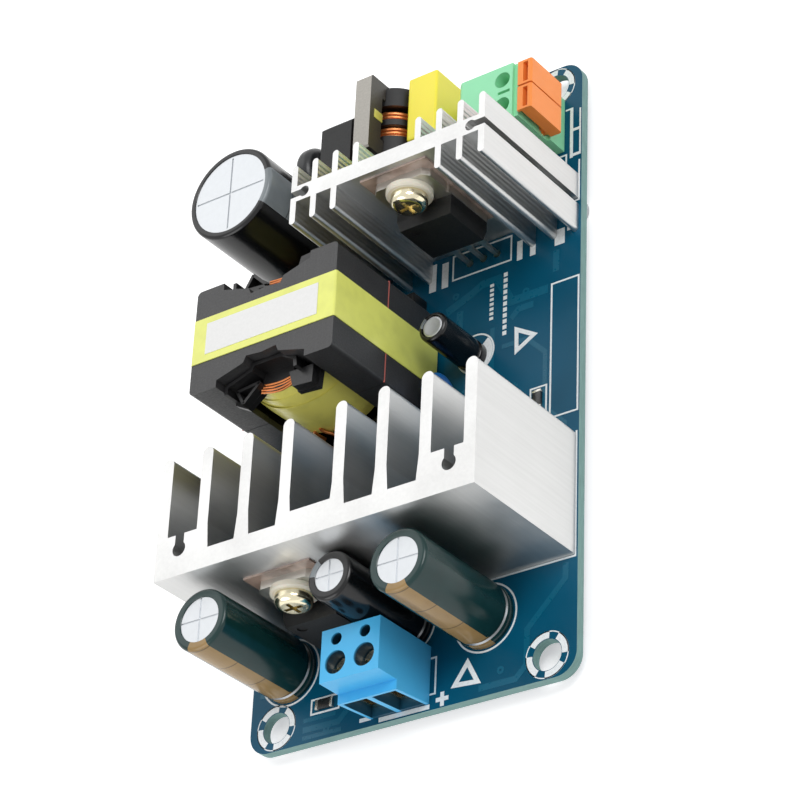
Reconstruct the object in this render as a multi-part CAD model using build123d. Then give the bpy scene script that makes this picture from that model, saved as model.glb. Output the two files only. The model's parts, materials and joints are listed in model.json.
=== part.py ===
from build123d import *
import math
import os

# Open frame mains power supply on one circuit board, in millimetres.
# Origin: centre of the four mounting holes, on the underside of the board. +Z goes up from the board,
# +X to the side of the wire levers, -Y to the screw terminal of the output.

# Circuit board
BOARD_WIDTH = 58.0
BOARD_THICKNESS = 1.6
BOARD_CORNER_RADIUS = 3.5
BOARD_END_MARGIN = 0.35
HOLE_INSET_X = 4.93
HOLE_INSET_Y = 3.75
HOLE_RADIUS = 2.4
LEAD_HOLE_CLEARANCE = 0.2
LEAD_STUB = 1.5
SOLDER_HEIGHT = 1.0
SOLDER_RADIUS_GAIN = 0.75

# Screws that hold the heatsinks from below the board
HEATSINK_SCREW_HEAD_RADIUS = 2.6
HEATSINK_SCREW_HEAD_HEIGHT = 2.0
HEATSINK_SCREW_GRIP = 9.0
SCREW_PASS_CLEARANCE = 0.25

# Output terminal with clamp screws
OUT_TERMINAL_PITCH = 5.08
OUT_TERMINAL_SIDE_WALL = 0.12
OUT_TERMINAL_DEPTH = 8.2
OUT_TERMINAL_LIP = 1.5
OUT_TERMINAL_HEIGHT = 12.2
OUT_TERMINAL_SHELF_HEIGHT = 7.8
OUT_TERMINAL_X = -1.3
OUT_TERMINAL_FOOT_TAPER = 0.7
CLAMP_CAVITY_WIDTH = 4.2
CLAMP_CAVITY_FLOOR = 0.6
CLAMP_CAVITY_HEIGHT = 6.7
CLAMP_CAVITY_DEPTH = 6.7
CLAMP_SCREW_SETBACK = 2.8
CLAMP_SCREW_HEAD_RADIUS = 1.75
CLAMP_SCREW_HEAD_HEIGHT = 1.5
CLAMP_SCREW_SHELF = 8.4
CLAMP_SCREW_SHANK_RADIUS = 1.4
CLAMP_SCREW_SLOT = 0.6
CLAMP_SCREW_SLOT_DEPTH = 0.7
RUNNING_CLEARANCE = 0.06
CAGE_WIDTH = 3.9
CAGE_DEPTH = 4.4
CAGE_HEIGHT = 4.6
CAGE_PLATE = 0.8
CAGE_SIDE = 0.5
CAGE_START_GAP = 0.12
CONTACT_THICKNESS = 0.8
CONTACT_WIDTH = 2.4
PROBE_HOLE_RADIUS = 0.95
PROBE_HOLE_SETBACK = 1.75
PROBE_HOLE_DEPTH = 3.5

# Output heatsink: a comb profile, stood on end along the board's width
OUT_SINK_HEIGHT = 24.8
OUT_SINK_FRONT_SETBACK = 18.25
OUT_SINK_BASE = 3.2
OUT_SINK_DEPTH = 20.2
OUT_SINK_FIN = 2.0
OUT_SINK_FIN_ROOT = 2.7
OUT_SINK_CENTRE_PITCH = 9.6
OUT_SINK_FIN_PITCH = 7.57
OUT_SINK_FINS_PER_SIDE = 4
OUT_SINK_X = 0.1
OUT_SINK_CENTRE_STEP = 1.5
OUT_SINK_CHANNEL_STEP = 3.6
OUT_SINK_CHANNEL_X = 24.1
OUT_SINK_CHANNEL_SETBACK = 4.4
OUT_SINK_CHANNEL_RADIUS = 1.2
OUT_SINK_CHANNEL_NECK = 1.65

# Primary heatsink: a spine with fins on both sides
PRIMARY_SINK_HEIGHT = 24.9
PRIMARY_SINK_SPINE = 2.8
PRIMARY_SINK_BACK_FIN = 3.9
PRIMARY_SINK_FRONT_FIN = 4.0
PRIMARY_SINK_FIN = 1.1
PRIMARY_SINK_FIN_PITCH = 3.87
PRIMARY_SINK_CENTRE_PITCH = 11.6
PRIMARY_SINK_FINS_PER_SIDE = 4
PRIMARY_SINK_EDGE_GAP = 0.45
PRIMARY_SINK_CHANNEL_RADIUS = 0.9
PRIMARY_SINK_CHANNEL_NECK = 1.15
PRIMARY_SINK_CHANNEL_INSET = 2.55

# Tabbed power devices, one on each heatsink
PAD_THICKNESS = 0.3
PAD_WIDTH = 12.1
PAD_TOP_MARGIN = 1.7
TAB_WIDTH = 10.2
TAB_THICKNESS = 1.3
TAB_CHAMFER = 1.0
TAB_HOLE_RADIUS = 1.85
TAB_HOLE_FROM_TOP = 2.8
DEVICE_HEIGHT = 15.8
DEVICE_THICKNESS = 4.5
DEVICE_LEAD_PITCH = 2.54
DEVICE_LEAD_WIDTH = 0.8
DEVICE_LEAD_THICKNESS = 0.5
DEVICE_SHOULDER_WIDTH = 1.4
DEVICE_SHOULDER_HEIGHT = 2.6
DEVICE_LEAD_SETBACK = 2.0
BUSH_RADIUS = 3.6
BUSH_BODY_GAP = 0.1
BUSH_THICKNESS = 1.0
BUSH_SLEEVE_RADIUS = 1.8
DEVICE_SCREW_RADIUS = 1.5
DEVICE_SCREW_HEAD_RADIUS = 2.85
DEVICE_SCREW_HEAD_HEIGHT = 1.9
MOSFET_OFFSET_X = 0.5
MOSFET_LIFT = 6.3
MOSFET_SCREW_REACH = 2.4
RECTIFIER_X = -10.2
RECTIFIER_LIFT = 1.5
RECTIFIER_SCREW_REACH = 3.0

# Transformer
CORE_WIDTH = 26.9
CORE_DEPTH = 18.3
CORE_HEIGHT = 25.4
CORE_PLATE = 4.4
CORE_LIFT = 0.9
CORE_POST_RADIUS = 6.0
CORE_WINDOW_RADIUS = 11.6
CORE_OPENING = 16.6
CORE_SPLIT_GAP = 0.1
CORE_CORNER_RADIUS = 0.8
CORE_SIDE_MARGIN = 5.7
CORE_GAP_TO_OUT_SINK = 8.9
CORE_NOTCH_STEP = 1.2
CORE_NOTCH_SHOULDER = 2.6
CORE_NOTCH_DEPTH = 3.7
CORE_NOTCH_THROAT = 6.6
TAPE_WIDTH = 7.8
TAPE_THICKNESS = 0.15
LABEL_LENGTH = 21.2
LABEL_WIDTH = 5.4
LABEL_THICKNESS = 0.1
LABEL_OFFSET_X = -0.25
BOBBIN_CLEARANCE = 0.3
BOBBIN_WALL = 0.8
BOBBIN_FLANGE = 0.9
BOBBIN_FLANGE_RADIUS = 11.2
BOBBIN_END_GAP = 0.1
BOBBIN_TONGUE_WIDTH = 16.0
BOBBIN_RAIL_DEPTH = 4.0
BOBBIN_RAIL_WIDTH = 21.0
BOBBIN_RAIL_HEIGHT = 3.6
BOBBIN_RAIL_GAP = 0.3
WINDING_RADIUS = 10.45
LEAD_WIRE_RADIUS = 0.32
LEAD_WIRE_STEP_DEG = 13.0
LEAD_WIRE_SHARES = [0.65, 0.75, 0.55, 0.82, 0.68]
TRANSFORMER_PIN_RADIUS = 0.35
TRANSFORMER_PIN_PITCH = 3.81
TRANSFORMER_PINS_PER_SIDE = 6

# Row of parts behind the transformer
PRIMARY_SINK_GAP_TO_CORE = 7.4
INPUT_ROW_GAP = 7.7

# Electrolytic capacitors
SLEEVE_THICKNESS = 0.15
BEAD_DEPTH = 0.45
BEAD_HEIGHT = 1.3
SLEEVE_LIP = 0.9
VENT_GROOVE = 0.3
VENT_DEPTH = 0.15
BULK_RADIUS = 8.0
BULK_HEIGHT = 26.3
BULK_GAP_TO_SINK = 3.13
BULK_BEHIND_SPINE = 2.5
OUT_CAP_RADIUS = 4.9
OUT_CAP_HEIGHT = 21.2
OUT_CAP_SINK_GAP = 1.15
OUT_CAP_LEFT_X = -22.0
OUT_CAP_RIGHT_X = 13.4
SMALL_CAP_RADIUS = 3.85
SMALL_CAP_HEIGHT = 19.6
SMALL_CAP_X = 0.2
SMALL_CAP_SINK_GAP = 0.3
SUPPLY_CAP_RADIUS = 2.5
SUPPLY_CAP_HEIGHT = 10.7
SUPPLY_CAP_CORE_GAP = 3.7
SUPPLY_CAP_Y = 4.2
CAP_LEAD_RADIUS = 0.35

# Mains filter choke: a closed ferrite frame with a round two-section bobbin on its lower bar
CHOKE_SET_IN = 6.52
CHOKE_FRAME_LENGTH = 13.8
CHOKE_FRAME_WIDTH = 3.0
CHOKE_BAR = 3.0
CHOKE_TOP = 16.9
CHOKE_AXIS_HEIGHT = 8.2
CHOKE_COLLAR_RADIUS = 5.2
CHOKE_COLLAR_LENGTH = 3.4
CHOKE_TUBE_RADIUS = 2.6
CHOKE_MID_FLANGE = 1.1
CHOKE_MID_FLANGE_RADIUS = 4.9
CHOKE_COIL_RADIUS = 4.3
CHOKE_FOOT_WIDTH = 8.6
CHOKE_CORE_CLEARANCE = 0.1
CHOKE_BACK_MARGIN = 1.75
CHOKE_TAPE_LENGTH = 2.2
CHOKE_TAPE_THICKNESS = 0.12

# Other parts of the mains side
X_CAP_GAP_TO_CHOKE = 0.15
X_CAP_WIDTH = 5.6
X_CAP_LENGTH = 11.9
X_CAP_HEIGHT = 12.0
X_CAP_STANDOFF = 0.4
X_CAP_LEAD_SPAN = 10.0
BRIDGE_WIDTH = 6.0
BRIDGE_LENGTH = 13.2
BRIDGE_HEIGHT = 11.0
BRIDGE_STANDOFF = 1.4
BRIDGE_BEVEL = 1.6
BRIDGE_GAP_TO_CHOKE = 0.45
BRIDGE_BACK_MARGIN = 3.4
BRIDGE_LEAD_PITCH = 3.8
BRIDGE_LEAD_RADIUS = 0.45
THERMISTOR_RADIUS = 4.5
THERMISTOR_THICKNESS = 3.2
THERMISTOR_GAP_TO_BRIDGE = 1.9
THERMISTOR_BACK_MARGIN = 9.95
THERMISTOR_LIFT = 3.9
THERMISTOR_LEAD_SPAN = 5.0
FUSE_RADIUS = 1.6
FUSE_LENGTH = 9.0
FUSE_EDGE_GAP = 10.0
FUSE_GAP_TO_SINK = 0.7
FUSE_CAP_LENGTH = 1.6
FUSE_LIFT = 0.3
WIRE_LEAD_RADIUS = 0.35
LEAD_BEND_RADIUS = 1.0

# Lever terminal for the mains wires
LEVER_PITCH = 4.7
LEVER_TERMINAL_SIDE_WALL = 0.2
LEVER_TERMINAL_DEPTH = 11.5
LEVER_TERMINAL_EDGE_GAP = 3.2
LEVER_TERMINAL_BACK_MARGIN = 6.7
LEVER_TERMINAL_HEIGHT = 12.4
LEVER_TERMINAL_BASE = 3.8
LEVER_TERMINAL_BASE_STEP = 0.6
LEVER_LEDGE_DROP = 0.6
LEVER_LEDGE_WIDTH = 0.7
WIRE_ENTRY_RADIUS = 1.38
WIRE_ENTRY_DEPTH = 5.8
WIRE_ENTRY_FROM_FACE = 2.6
SPRING_CAVITY_FRONT = 1.9
SPRING_CAVITY_BACK = 2.0
SPRING_CAVITY_FLOOR = 0.8
SPRING_THICKNESS = 0.4
SPRING_WIDTH = 3.0
LEVER_PIVOT_HEIGHT = 5.0
LEVER_PIVOT_INSET = 0.35
LEVER_PIN_RADIUS = 0.55
LEVER_PIN_LENGTH = 4.1
LEVER_FOOT_RADIUS = 0.95
LEVER_FOOT_WIDTH = 3.2
LEVER_FOOT_SIDE_CLEARANCE = 0.15
LEVER_WIDTH = 4.4
LEVER_WALL_GAP = 0.8
LEVER_THICKNESS = 2.0
LEVER_POCKET_INSET = 0.45
LEVER_POCKET = 0.85
LEVER_POCKET_LENGTH = 3.6
LEVER_POCKET_DEPTH = 5.0
LEVER_BASE_GAP = 0.2
LEVER_LIP_THICKNESS = 0.45
LEVER_LIP_REACH = 0.55
LEVER_CORNER = 0.35
INPUT_PIN_SIZE = 0.8
LEVER_TOP_SLIT = 0.5
LEVER_TOP_SLIT_DEPTH = 1.0
LEVER_TOP_SLIT_LENGTH = 2.2
TEST_POCKET_SET_IN = 1.6
TEST_POCKET_LENGTH = 3.0
TEST_POCKET_WIDTH = 1.8
TEST_POCKET_DEPTH = 2.0

# Small parts
LED_X = -9.6
LED_Y_FROM_FRONT = 5.6
CHIP_RESISTOR_LENGTH = 3.1
CHIP_RESISTOR_WIDTH = 1.6
CHIP_HEIGHT = 0.6
CHIP_CAP_LENGTH = 2.0
CHIP_CAP_WIDTH = 1.3
CHIP_ROW_OFFSET = 6.5
CHIP_ROW_PITCH = 3.0
CHIP_ROW_RESISTORS = 5
CHIP_ROW_CAPACITORS = 4
TOP_RESISTOR_X = -15.0
TOP_RESISTOR_Y_FROM_FRONT = 5.5
SIDE_CHIP_EDGE_GAP = 7.2
SIDE_CHIP_GAP_TO_SINK = 7.1
OPTO_X = 7.2
OPTO_LENGTH = 6.4
OPTO_WIDTH = 4.6
OPTO_HEIGHT = 3.4
OPTO_GAP_TO_SINK = 0.9
OPTO_LEAD_SPAN = 7.62
Y_CAP_RADIUS = 3.3
Y_CAP_THICKNESS = 2.6
Y_CAP_GAP_TO_CORE = 1.6
Y_CAP_Y = -3.2
Y_CAP_LIFT = 0.8
CLAMP_RESISTOR_RADIUS = 1.7
CLAMP_RESISTOR_LENGTH = 9.0
CLAMP_RESISTOR_GAP = 0.9
CONTROLLER_EDGE_GAP = 11.5
CONTROLLER_Y = 3.0
CONTROLLER_LENGTH = 4.9
CONTROLLER_WIDTH = 3.9
CONTROLLER_HEIGHT = 1.35
CONTROLLER_PITCH = 1.27
CONTROLLER_STANDOFF = 0.1
CONTROLLER_LEG_WIDTH = 0.4
CONTROLLER_LEG_THICKNESS = 0.2
CONTROLLER_LEG_DROP = 0.85
CONTROLLER_LEG_REACH = 0.45
CONTROLLER_FOOT_REACH = 1.0
LED_LENGTH = 2.0
LED_WIDTH = 1.2
LED_BASE_HEIGHT = 0.4
LED_LENS_LENGTH = 1.3
LED_LENS_HEIGHT = 0.5

# Rows along the board, from its front edge back
TOP = BOARD_THICKNESS
FRONT_TO_OUT_SINK = OUT_SINK_FRONT_SETBACK
FRONT_TO_CORE = FRONT_TO_OUT_SINK + OUT_SINK_DEPTH + CORE_GAP_TO_OUT_SINK
FRONT_TO_PRIMARY_SINK = FRONT_TO_CORE + CORE_DEPTH + PRIMARY_SINK_GAP_TO_CORE
PRIMARY_SINK_DEPTH = PRIMARY_SINK_FRONT_FIN + PRIMARY_SINK_SPINE + PRIMARY_SINK_BACK_FIN
FRONT_TO_INPUT_ROW = FRONT_TO_PRIMARY_SINK + PRIMARY_SINK_DEPTH + INPUT_ROW_GAP
BOARD_LENGTH = FRONT_TO_INPUT_ROW + X_CAP_LENGTH + CHOKE_BACK_MARGIN
RIGHT = BOARD_WIDTH / 2
LEFT = -RIGHT
BACK = BOARD_LENGTH / 2
FRONT = -BACK
HOLE_X = RIGHT - HOLE_INSET_X
HOLE_Y = BACK - HOLE_INSET_Y

# Places worked out from the rows
OUT_SINK_FACE = FRONT + FRONT_TO_OUT_SINK
CORE_FRONT = FRONT + FRONT_TO_CORE
CORE_BACK = CORE_FRONT + CORE_DEPTH
CORE_Y = CORE_FRONT + CORE_DEPTH / 2
CORE_LEFT = LEFT + CORE_SIDE_MARGIN
CORE_X = CORE_LEFT + CORE_WIDTH / 2
CORE_RIGHT = CORE_LEFT + CORE_WIDTH
CORE_BOTTOM = TOP + CORE_LIFT
CORE_TOP = CORE_BOTTOM + CORE_HEIGHT
PRIMARY_SPINE_FRONT = FRONT + FRONT_TO_PRIMARY_SINK + PRIMARY_SINK_FRONT_FIN
PRIMARY_SPINE_Y = PRIMARY_SPINE_FRONT + PRIMARY_SINK_SPINE / 2
PRIMARY_HALF_WIDTH = (
    PRIMARY_SINK_CENTRE_PITCH / 2
    + (PRIMARY_SINK_FINS_PER_SIDE - 1) * PRIMARY_SINK_FIN_PITCH
    + PRIMARY_SINK_FIN / 2
)
PRIMARY_X = RIGHT - PRIMARY_SINK_EDGE_GAP - PRIMARY_HALF_WIDTH
PRIMARY_BACK = FRONT + FRONT_TO_PRIMARY_SINK + PRIMARY_SINK_DEPTH
OUT_HALF_WIDTH = (
    OUT_SINK_CENTRE_PITCH / 2 + (OUT_SINK_FINS_PER_SIDE - 1) * OUT_SINK_FIN_PITCH + OUT_SINK_FIN / 2
)
PRIMARY_LEFT = PRIMARY_X - PRIMARY_HALF_WIDTH
MOSFET_X = PRIMARY_X + MOSFET_OFFSET_X
DEVICE_BODY_HEIGHT = DEVICE_HEIGHT - TAB_HOLE_FROM_TOP - BUSH_RADIUS - BUSH_BODY_GAP
BULK_X = PRIMARY_LEFT - BULK_GAP_TO_SINK - BULK_RADIUS
BULK_Y = PRIMARY_SPINE_FRONT + PRIMARY_SINK_SPINE + BULK_BEHIND_SPINE
OUT_CAP_Y = OUT_SINK_FACE - OUT_CAP_SINK_GAP - OUT_CAP_RADIUS
SMALL_CAP_Y = OUT_SINK_FACE - SMALL_CAP_SINK_GAP - SMALL_CAP_RADIUS
SUPPLY_CAP_X = CORE_RIGHT + SUPPLY_CAP_CORE_GAP + SUPPLY_CAP_RADIUS
CHOKE_X = PRIMARY_LEFT + CHOKE_SET_IN
CHOKE_Y = BACK - CHOKE_BACK_MARGIN - CHOKE_FRAME_LENGTH / 2
CHOKE_Z = TOP + CHOKE_AXIS_HEIGHT
X_CAP_LEFT = CHOKE_X + CHOKE_COLLAR_RADIUS + X_CAP_GAP_TO_CHOKE
X_CAP_X = X_CAP_LEFT + X_CAP_WIDTH / 2
X_CAP_Y = BACK - CHOKE_BACK_MARGIN - X_CAP_LENGTH / 2
BRIDGE_X = CHOKE_X - CHOKE_COLLAR_RADIUS - BRIDGE_GAP_TO_CHOKE - BRIDGE_WIDTH / 2
BRIDGE_Y = BACK - BRIDGE_BACK_MARGIN - BRIDGE_LENGTH / 2
THERMISTOR_X = BRIDGE_X - BRIDGE_WIDTH / 2 - THERMISTOR_GAP_TO_BRIDGE - THERMISTOR_THICKNESS / 2
THERMISTOR_Y = BACK - THERMISTOR_BACK_MARGIN
THERMISTOR_Z = TOP + THERMISTOR_LIFT + THERMISTOR_RADIUS
FUSE_X = RIGHT - FUSE_EDGE_GAP
FUSE_Y = PRIMARY_BACK + FUSE_GAP_TO_SINK + FUSE_RADIUS
FUSE_Z = TOP + FUSE_LIFT + FUSE_RADIUS
OPTO_Y = OUT_SINK_FACE + OUT_SINK_DEPTH + OPTO_GAP_TO_SINK + OPTO_WIDTH / 2
Y_CAP_X = CORE_RIGHT + Y_CAP_GAP_TO_CORE + Y_CAP_THICKNESS / 2
CLAMP_RESISTOR_X = CORE_LEFT - CLAMP_RESISTOR_GAP - CLAMP_RESISTOR_RADIUS
OUT_TERMINAL_FRONT = FRONT + BOARD_END_MARGIN
OUT_TERMINAL_FACE = OUT_TERMINAL_FRONT + OUT_TERMINAL_LIP
OUT_TERMINAL_BACK = OUT_TERMINAL_FACE + OUT_TERMINAL_DEPTH
OUT_TERMINAL_HALF = OUT_TERMINAL_PITCH + OUT_TERMINAL_SIDE_WALL
CLAMP_Y = OUT_TERMINAL_FACE + CLAMP_SCREW_SETBACK
CLAMP_XS = [OUT_TERMINAL_X - OUT_TERMINAL_PITCH / 2, OUT_TERMINAL_X + OUT_TERMINAL_PITCH / 2]
CAVITY_FLOOR_Z = TOP + CLAMP_CAVITY_FLOOR
CAVITY_BACK_Y = OUT_TERMINAL_FRONT + CLAMP_CAVITY_DEPTH
CAGE_Z = CAVITY_FLOOR_Z + CAGE_START_GAP
CONTACT_TOP_Z = CAGE_Z + CAGE_HEIGHT - CAGE_PLATE - RUNNING_CLEARANCE
CONTACT_Y = CAVITY_BACK_Y + CONTACT_THICKNESS / 2
LEVER_TERMINAL_RIGHT = RIGHT - LEVER_TERMINAL_EDGE_GAP
LEVER_TERMINAL_LEFT = LEVER_TERMINAL_RIGHT - LEVER_TERMINAL_DEPTH
LEVER_TERMINAL_WIDTH = 2 * (LEVER_PITCH + LEVER_TERMINAL_SIDE_WALL)
LEVER_TERMINAL_Y = BACK - LEVER_TERMINAL_BACK_MARGIN - LEVER_TERMINAL_WIDTH / 2
LEVER_YS = [LEVER_TERMINAL_Y - LEVER_PITCH / 2, LEVER_TERMINAL_Y + LEVER_PITCH / 2]
LEVER_TERMINAL_TOP = TOP + LEVER_TERMINAL_HEIGHT
UPPER_WALL_X = LEVER_TERMINAL_RIGHT - LEVER_TERMINAL_BASE_STEP
LEVER_INNER_X = UPPER_WALL_X + LEVER_WALL_GAP
LEVER_OUTER_X = LEVER_INNER_X + LEVER_THICKNESS
PIVOT_X = UPPER_WALL_X - LEVER_PIVOT_INSET
PIVOT_Z = TOP + LEVER_PIVOT_HEIGHT
WIRE_ENTRY_X = UPPER_WALL_X - WIRE_ENTRY_FROM_FACE
SPRING_FLOOR_Z = TOP + SPRING_CAVITY_FLOOR
SPRING_LEFT_X = LEVER_TERMINAL_LEFT + SPRING_CAVITY_BACK
SPRING_RIGHT_X = UPPER_WALL_X - SPRING_CAVITY_FRONT
SPRING_TOP_Z = LEVER_TERMINAL_TOP - WIRE_ENTRY_DEPTH
INPUT_PIN_X = (SPRING_LEFT_X + SPRING_RIGHT_X) / 2
SIDE_CHIP_X = RIGHT - SIDE_CHIP_EDGE_GAP
CONTROLLER_X = RIGHT - CONTROLLER_EDGE_GAP


# Simple shapes, each placed by its own limits

def block(x0, x1, y0, y1, z0, z1):
    return Pos((x0 + x1) / 2, (y0 + y1) / 2, (z0 + z1) / 2) * Box(x1 - x0, y1 - y0, z1 - z0)


def soft_block(x0, x1, y0, y1, z0, z1, radius):
    body = block(x0, x1, y0, y1, z0, z1)
    limit = 0.45 * min(x1 - x0, y1 - y0, z1 - z0)
    return fillet(body.edges(), min(radius, limit))


def rod(x, y, z0, z1, radius):
    return Pos(x, y, (z0 + z1) / 2) * Cylinder(radius, z1 - z0)


def rod_x(y, z, x0, x1, radius):
    return Pos((x0 + x1) / 2, y, z) * Rot(0, 90, 0) * Cylinder(radius, x1 - x0)


def rod_y(x, z, y0, y1, radius):
    return Pos(x, (y0 + y1) / 2, z) * Rot(90, 0, 0) * Cylinder(radius, y1 - y0)


def prism(points, direction):
    """A flat outline of corner points, drawn out along a direction."""
    return Part() + Solid.extrude(Face(Wire.make_polygon(points, close=True)), Vector(*direction))


def turned(outline):
    """A solid of revolution about Z from (radius, height) corners."""
    face = Face(Wire.make_polygon([(r, 0, z) for r, z in outline], close=True))
    return Part() + Solid.revolve(face, 360, Axis.Z)


def strip(points, thickness, y, width):
    """A bent metal strip: a line of (x, z) points with a thickness to its left, drawn out in Y."""
    offsets = []
    for i, point in enumerate(points):
        before = points[max(i - 1, 0)]
        after = points[min(i + 1, len(points) - 1)]
        normals = []
        for a, b in ((before, point), (point, after)):
            length = math.hypot(b[0] - a[0], b[1] - a[1])
            if length > 0:
                normals.append((-(b[1] - a[1]) / length, (b[0] - a[0]) / length))
        nx = sum(n[0] for n in normals) / len(normals)
        nz = sum(n[1] for n in normals) / len(normals)
        stretch = thickness / (nx * nx + nz * nz)
        offsets.append((point[0] + nx * stretch, point[1] + nz * stretch))
    outline = list(points) + offsets[::-1]
    corners = [(px, y - width / 2, pz) for px, pz in outline]
    return prism(corners, (0, width, 0))


def group(solids):
    return Compound(children=[s for part in solids for s in part.solids()])


# Leads: each is (x, y, top height, size along X, size along Y), and a round one has size along Y of 0

def round_lead(x, y, top, radius):
    return (x, y, top, 2 * radius, 0)


def lead_solid(lead, top=None, bottom=-LEAD_STUB):
    x, y, lead_top, size_x, size_y = lead
    high = lead_top if top is None else top
    if size_y == 0:
        return rod(x, y, bottom, high, size_x / 2)
    return block(x - size_x / 2, x + size_x / 2, y - size_y / 2, y + size_y / 2, bottom, high)


def lead_reach(lead):
    return math.hypot(lead[3], lead[4]) / 2


def pair_leads(x, y, span, top, radius, along_y=False):
    half = span / 2
    if along_y:
        return [round_lead(x, y - half, top, radius), round_lead(x, y + half, top, radius)]
    return [round_lead(x - half, y, top, radius), round_lead(x + half, y, top, radius)]


def device_leads(x, face_y, lift):
    y = face_y - PAD_THICKNESS - DEVICE_THICKNESS + DEVICE_LEAD_SETBACK
    return [
        (x + i * DEVICE_LEAD_PITCH, y, TOP + lift, DEVICE_LEAD_WIDTH, DEVICE_LEAD_THICKNESS)
        for i in (-1, 0, 1)
    ]


BOBBIN_RAIL_FRONT_Y = CORE_FRONT - BOBBIN_RAIL_GAP - BOBBIN_RAIL_DEPTH / 2
BOBBIN_RAIL_BACK_Y = CORE_BACK + BOBBIN_RAIL_GAP + BOBBIN_RAIL_DEPTH / 2

TRANSFORMER_LEADS = [
    round_lead(
        CORE_X + (i - (TRANSFORMER_PINS_PER_SIDE - 1) / 2) * TRANSFORMER_PIN_PITCH,
        y,
        TOP + BOBBIN_RAIL_HEIGHT / 2,
        TRANSFORMER_PIN_RADIUS,
    )
    for y in (BOBBIN_RAIL_FRONT_Y, BOBBIN_RAIL_BACK_Y)
    for i in range(TRANSFORMER_PINS_PER_SIDE)
]
CAPACITOR_LEADS = (
    pair_leads(BULK_X, BULK_Y, BULK_RADIUS * 0.94, TOP, CAP_LEAD_RADIUS)
    + pair_leads(OUT_CAP_LEFT_X, OUT_CAP_Y, OUT_CAP_RADIUS, TOP, CAP_LEAD_RADIUS)
    + pair_leads(OUT_CAP_RIGHT_X, OUT_CAP_Y, OUT_CAP_RADIUS, TOP, CAP_LEAD_RADIUS)
    + pair_leads(SMALL_CAP_X, SMALL_CAP_Y, SMALL_CAP_RADIUS * 0.9, TOP, CAP_LEAD_RADIUS)
    + pair_leads(SUPPLY_CAP_X, SUPPLY_CAP_Y, SUPPLY_CAP_RADIUS * 0.8, TOP, CAP_LEAD_RADIUS * 0.8)
)
CHOKE_LEAD_OFFSET_X = 0.35 * CHOKE_FOOT_WIDTH
CHOKE_LEAD_OFFSET_Y = 0.37 * CHOKE_FRAME_LENGTH
CHOKE_LEADS = [
    round_lead(CHOKE_X + sx * CHOKE_LEAD_OFFSET_X, CHOKE_Y + sy * CHOKE_LEAD_OFFSET_Y, TOP, WIRE_LEAD_RADIUS)
    for sx in (-1, 1)
    for sy in (-1, 1)
]
X_CAP_LEADS = pair_leads(X_CAP_X, X_CAP_Y, X_CAP_LEAD_SPAN, TOP + X_CAP_STANDOFF, WIRE_LEAD_RADIUS, True)
BRIDGE_LEADS = [
    round_lead(BRIDGE_X, BRIDGE_Y + (i - 1.5) * BRIDGE_LEAD_PITCH, TOP + BRIDGE_STANDOFF, BRIDGE_LEAD_RADIUS)
    for i in range(4)
]
THERMISTOR_LEAD_TOP = THERMISTOR_Z - THERMISTOR_RADIUS * 0.7
THERMISTOR_LEADS = pair_leads(
    THERMISTOR_X, THERMISTOR_Y, THERMISTOR_LEAD_SPAN, THERMISTOR_LEAD_TOP, WIRE_LEAD_RADIUS, True
)
Y_CAP_LEADS = pair_leads(
    Y_CAP_X, Y_CAP_Y, Y_CAP_RADIUS * 1.3, TOP + Y_CAP_LIFT + 1.0, WIRE_LEAD_RADIUS * 0.8, True
)
OPTO_LEG_TOP = TOP + OPTO_HEIGHT * 0.55
OPTO_LEADS = [
    (OPTO_X + sx * OPTO_LEAD_SPAN / 2, OPTO_Y + sy * DEVICE_LEAD_PITCH / 2, OPTO_LEG_TOP, 0.25, 0.6)
    for sx in (-1, 1)
    for sy in (-1, 1)
]
MOSFET_LEADS = device_leads(MOSFET_X, PRIMARY_SPINE_FRONT, MOSFET_LIFT)
RECTIFIER_LEADS = device_leads(RECTIFIER_X, OUT_SINK_FACE, RECTIFIER_LIFT)
OUT_TERMINAL_LEADS = [(x, CONTACT_Y, CONTACT_TOP_Z, CONTACT_WIDTH / 2, CONTACT_THICKNESS) for x in CLAMP_XS]
INPUT_LEADS = [(INPUT_PIN_X, y, SPRING_FLOOR_Z, INPUT_PIN_SIZE, INPUT_PIN_SIZE) for y in LEVER_YS]
ALL_LEADS = (
    TRANSFORMER_LEADS + CAPACITOR_LEADS + CHOKE_LEADS + X_CAP_LEADS + BRIDGE_LEADS + THERMISTOR_LEADS
    + Y_CAP_LEADS + OPTO_LEADS + MOSFET_LEADS + RECTIFIER_LEADS + OUT_TERMINAL_LEADS + INPUT_LEADS
)
AXIAL_LEADS = {
    "fuse": pair_leads(FUSE_X, FUSE_Y, FUSE_LENGTH + 4 * LEAD_BEND_RADIUS, FUSE_Z, WIRE_LEAD_RADIUS),
    "clamp_resistor": pair_leads(
        CLAMP_RESISTOR_X, CORE_Y, CLAMP_RESISTOR_LENGTH + 4 * LEAD_BEND_RADIUS,
        TOP + FUSE_LIFT + CLAMP_RESISTOR_RADIUS, WIRE_LEAD_RADIUS, True
    ),
}
for axial in AXIAL_LEADS.values():
    ALL_LEADS = ALL_LEADS + axial

OUT_SCREW_PLACES = [
    (OUT_SINK_X + s * OUT_SINK_CHANNEL_X, OUT_SINK_FACE + OUT_SINK_CHANNEL_SETBACK) for s in (-1, 1)
]
PRIMARY_SCREW_PLACES = [
    (PRIMARY_X + s * (PRIMARY_HALF_WIDTH - PRIMARY_SINK_CHANNEL_INSET), PRIMARY_SPINE_Y) for s in (-1, 1)
]


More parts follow.
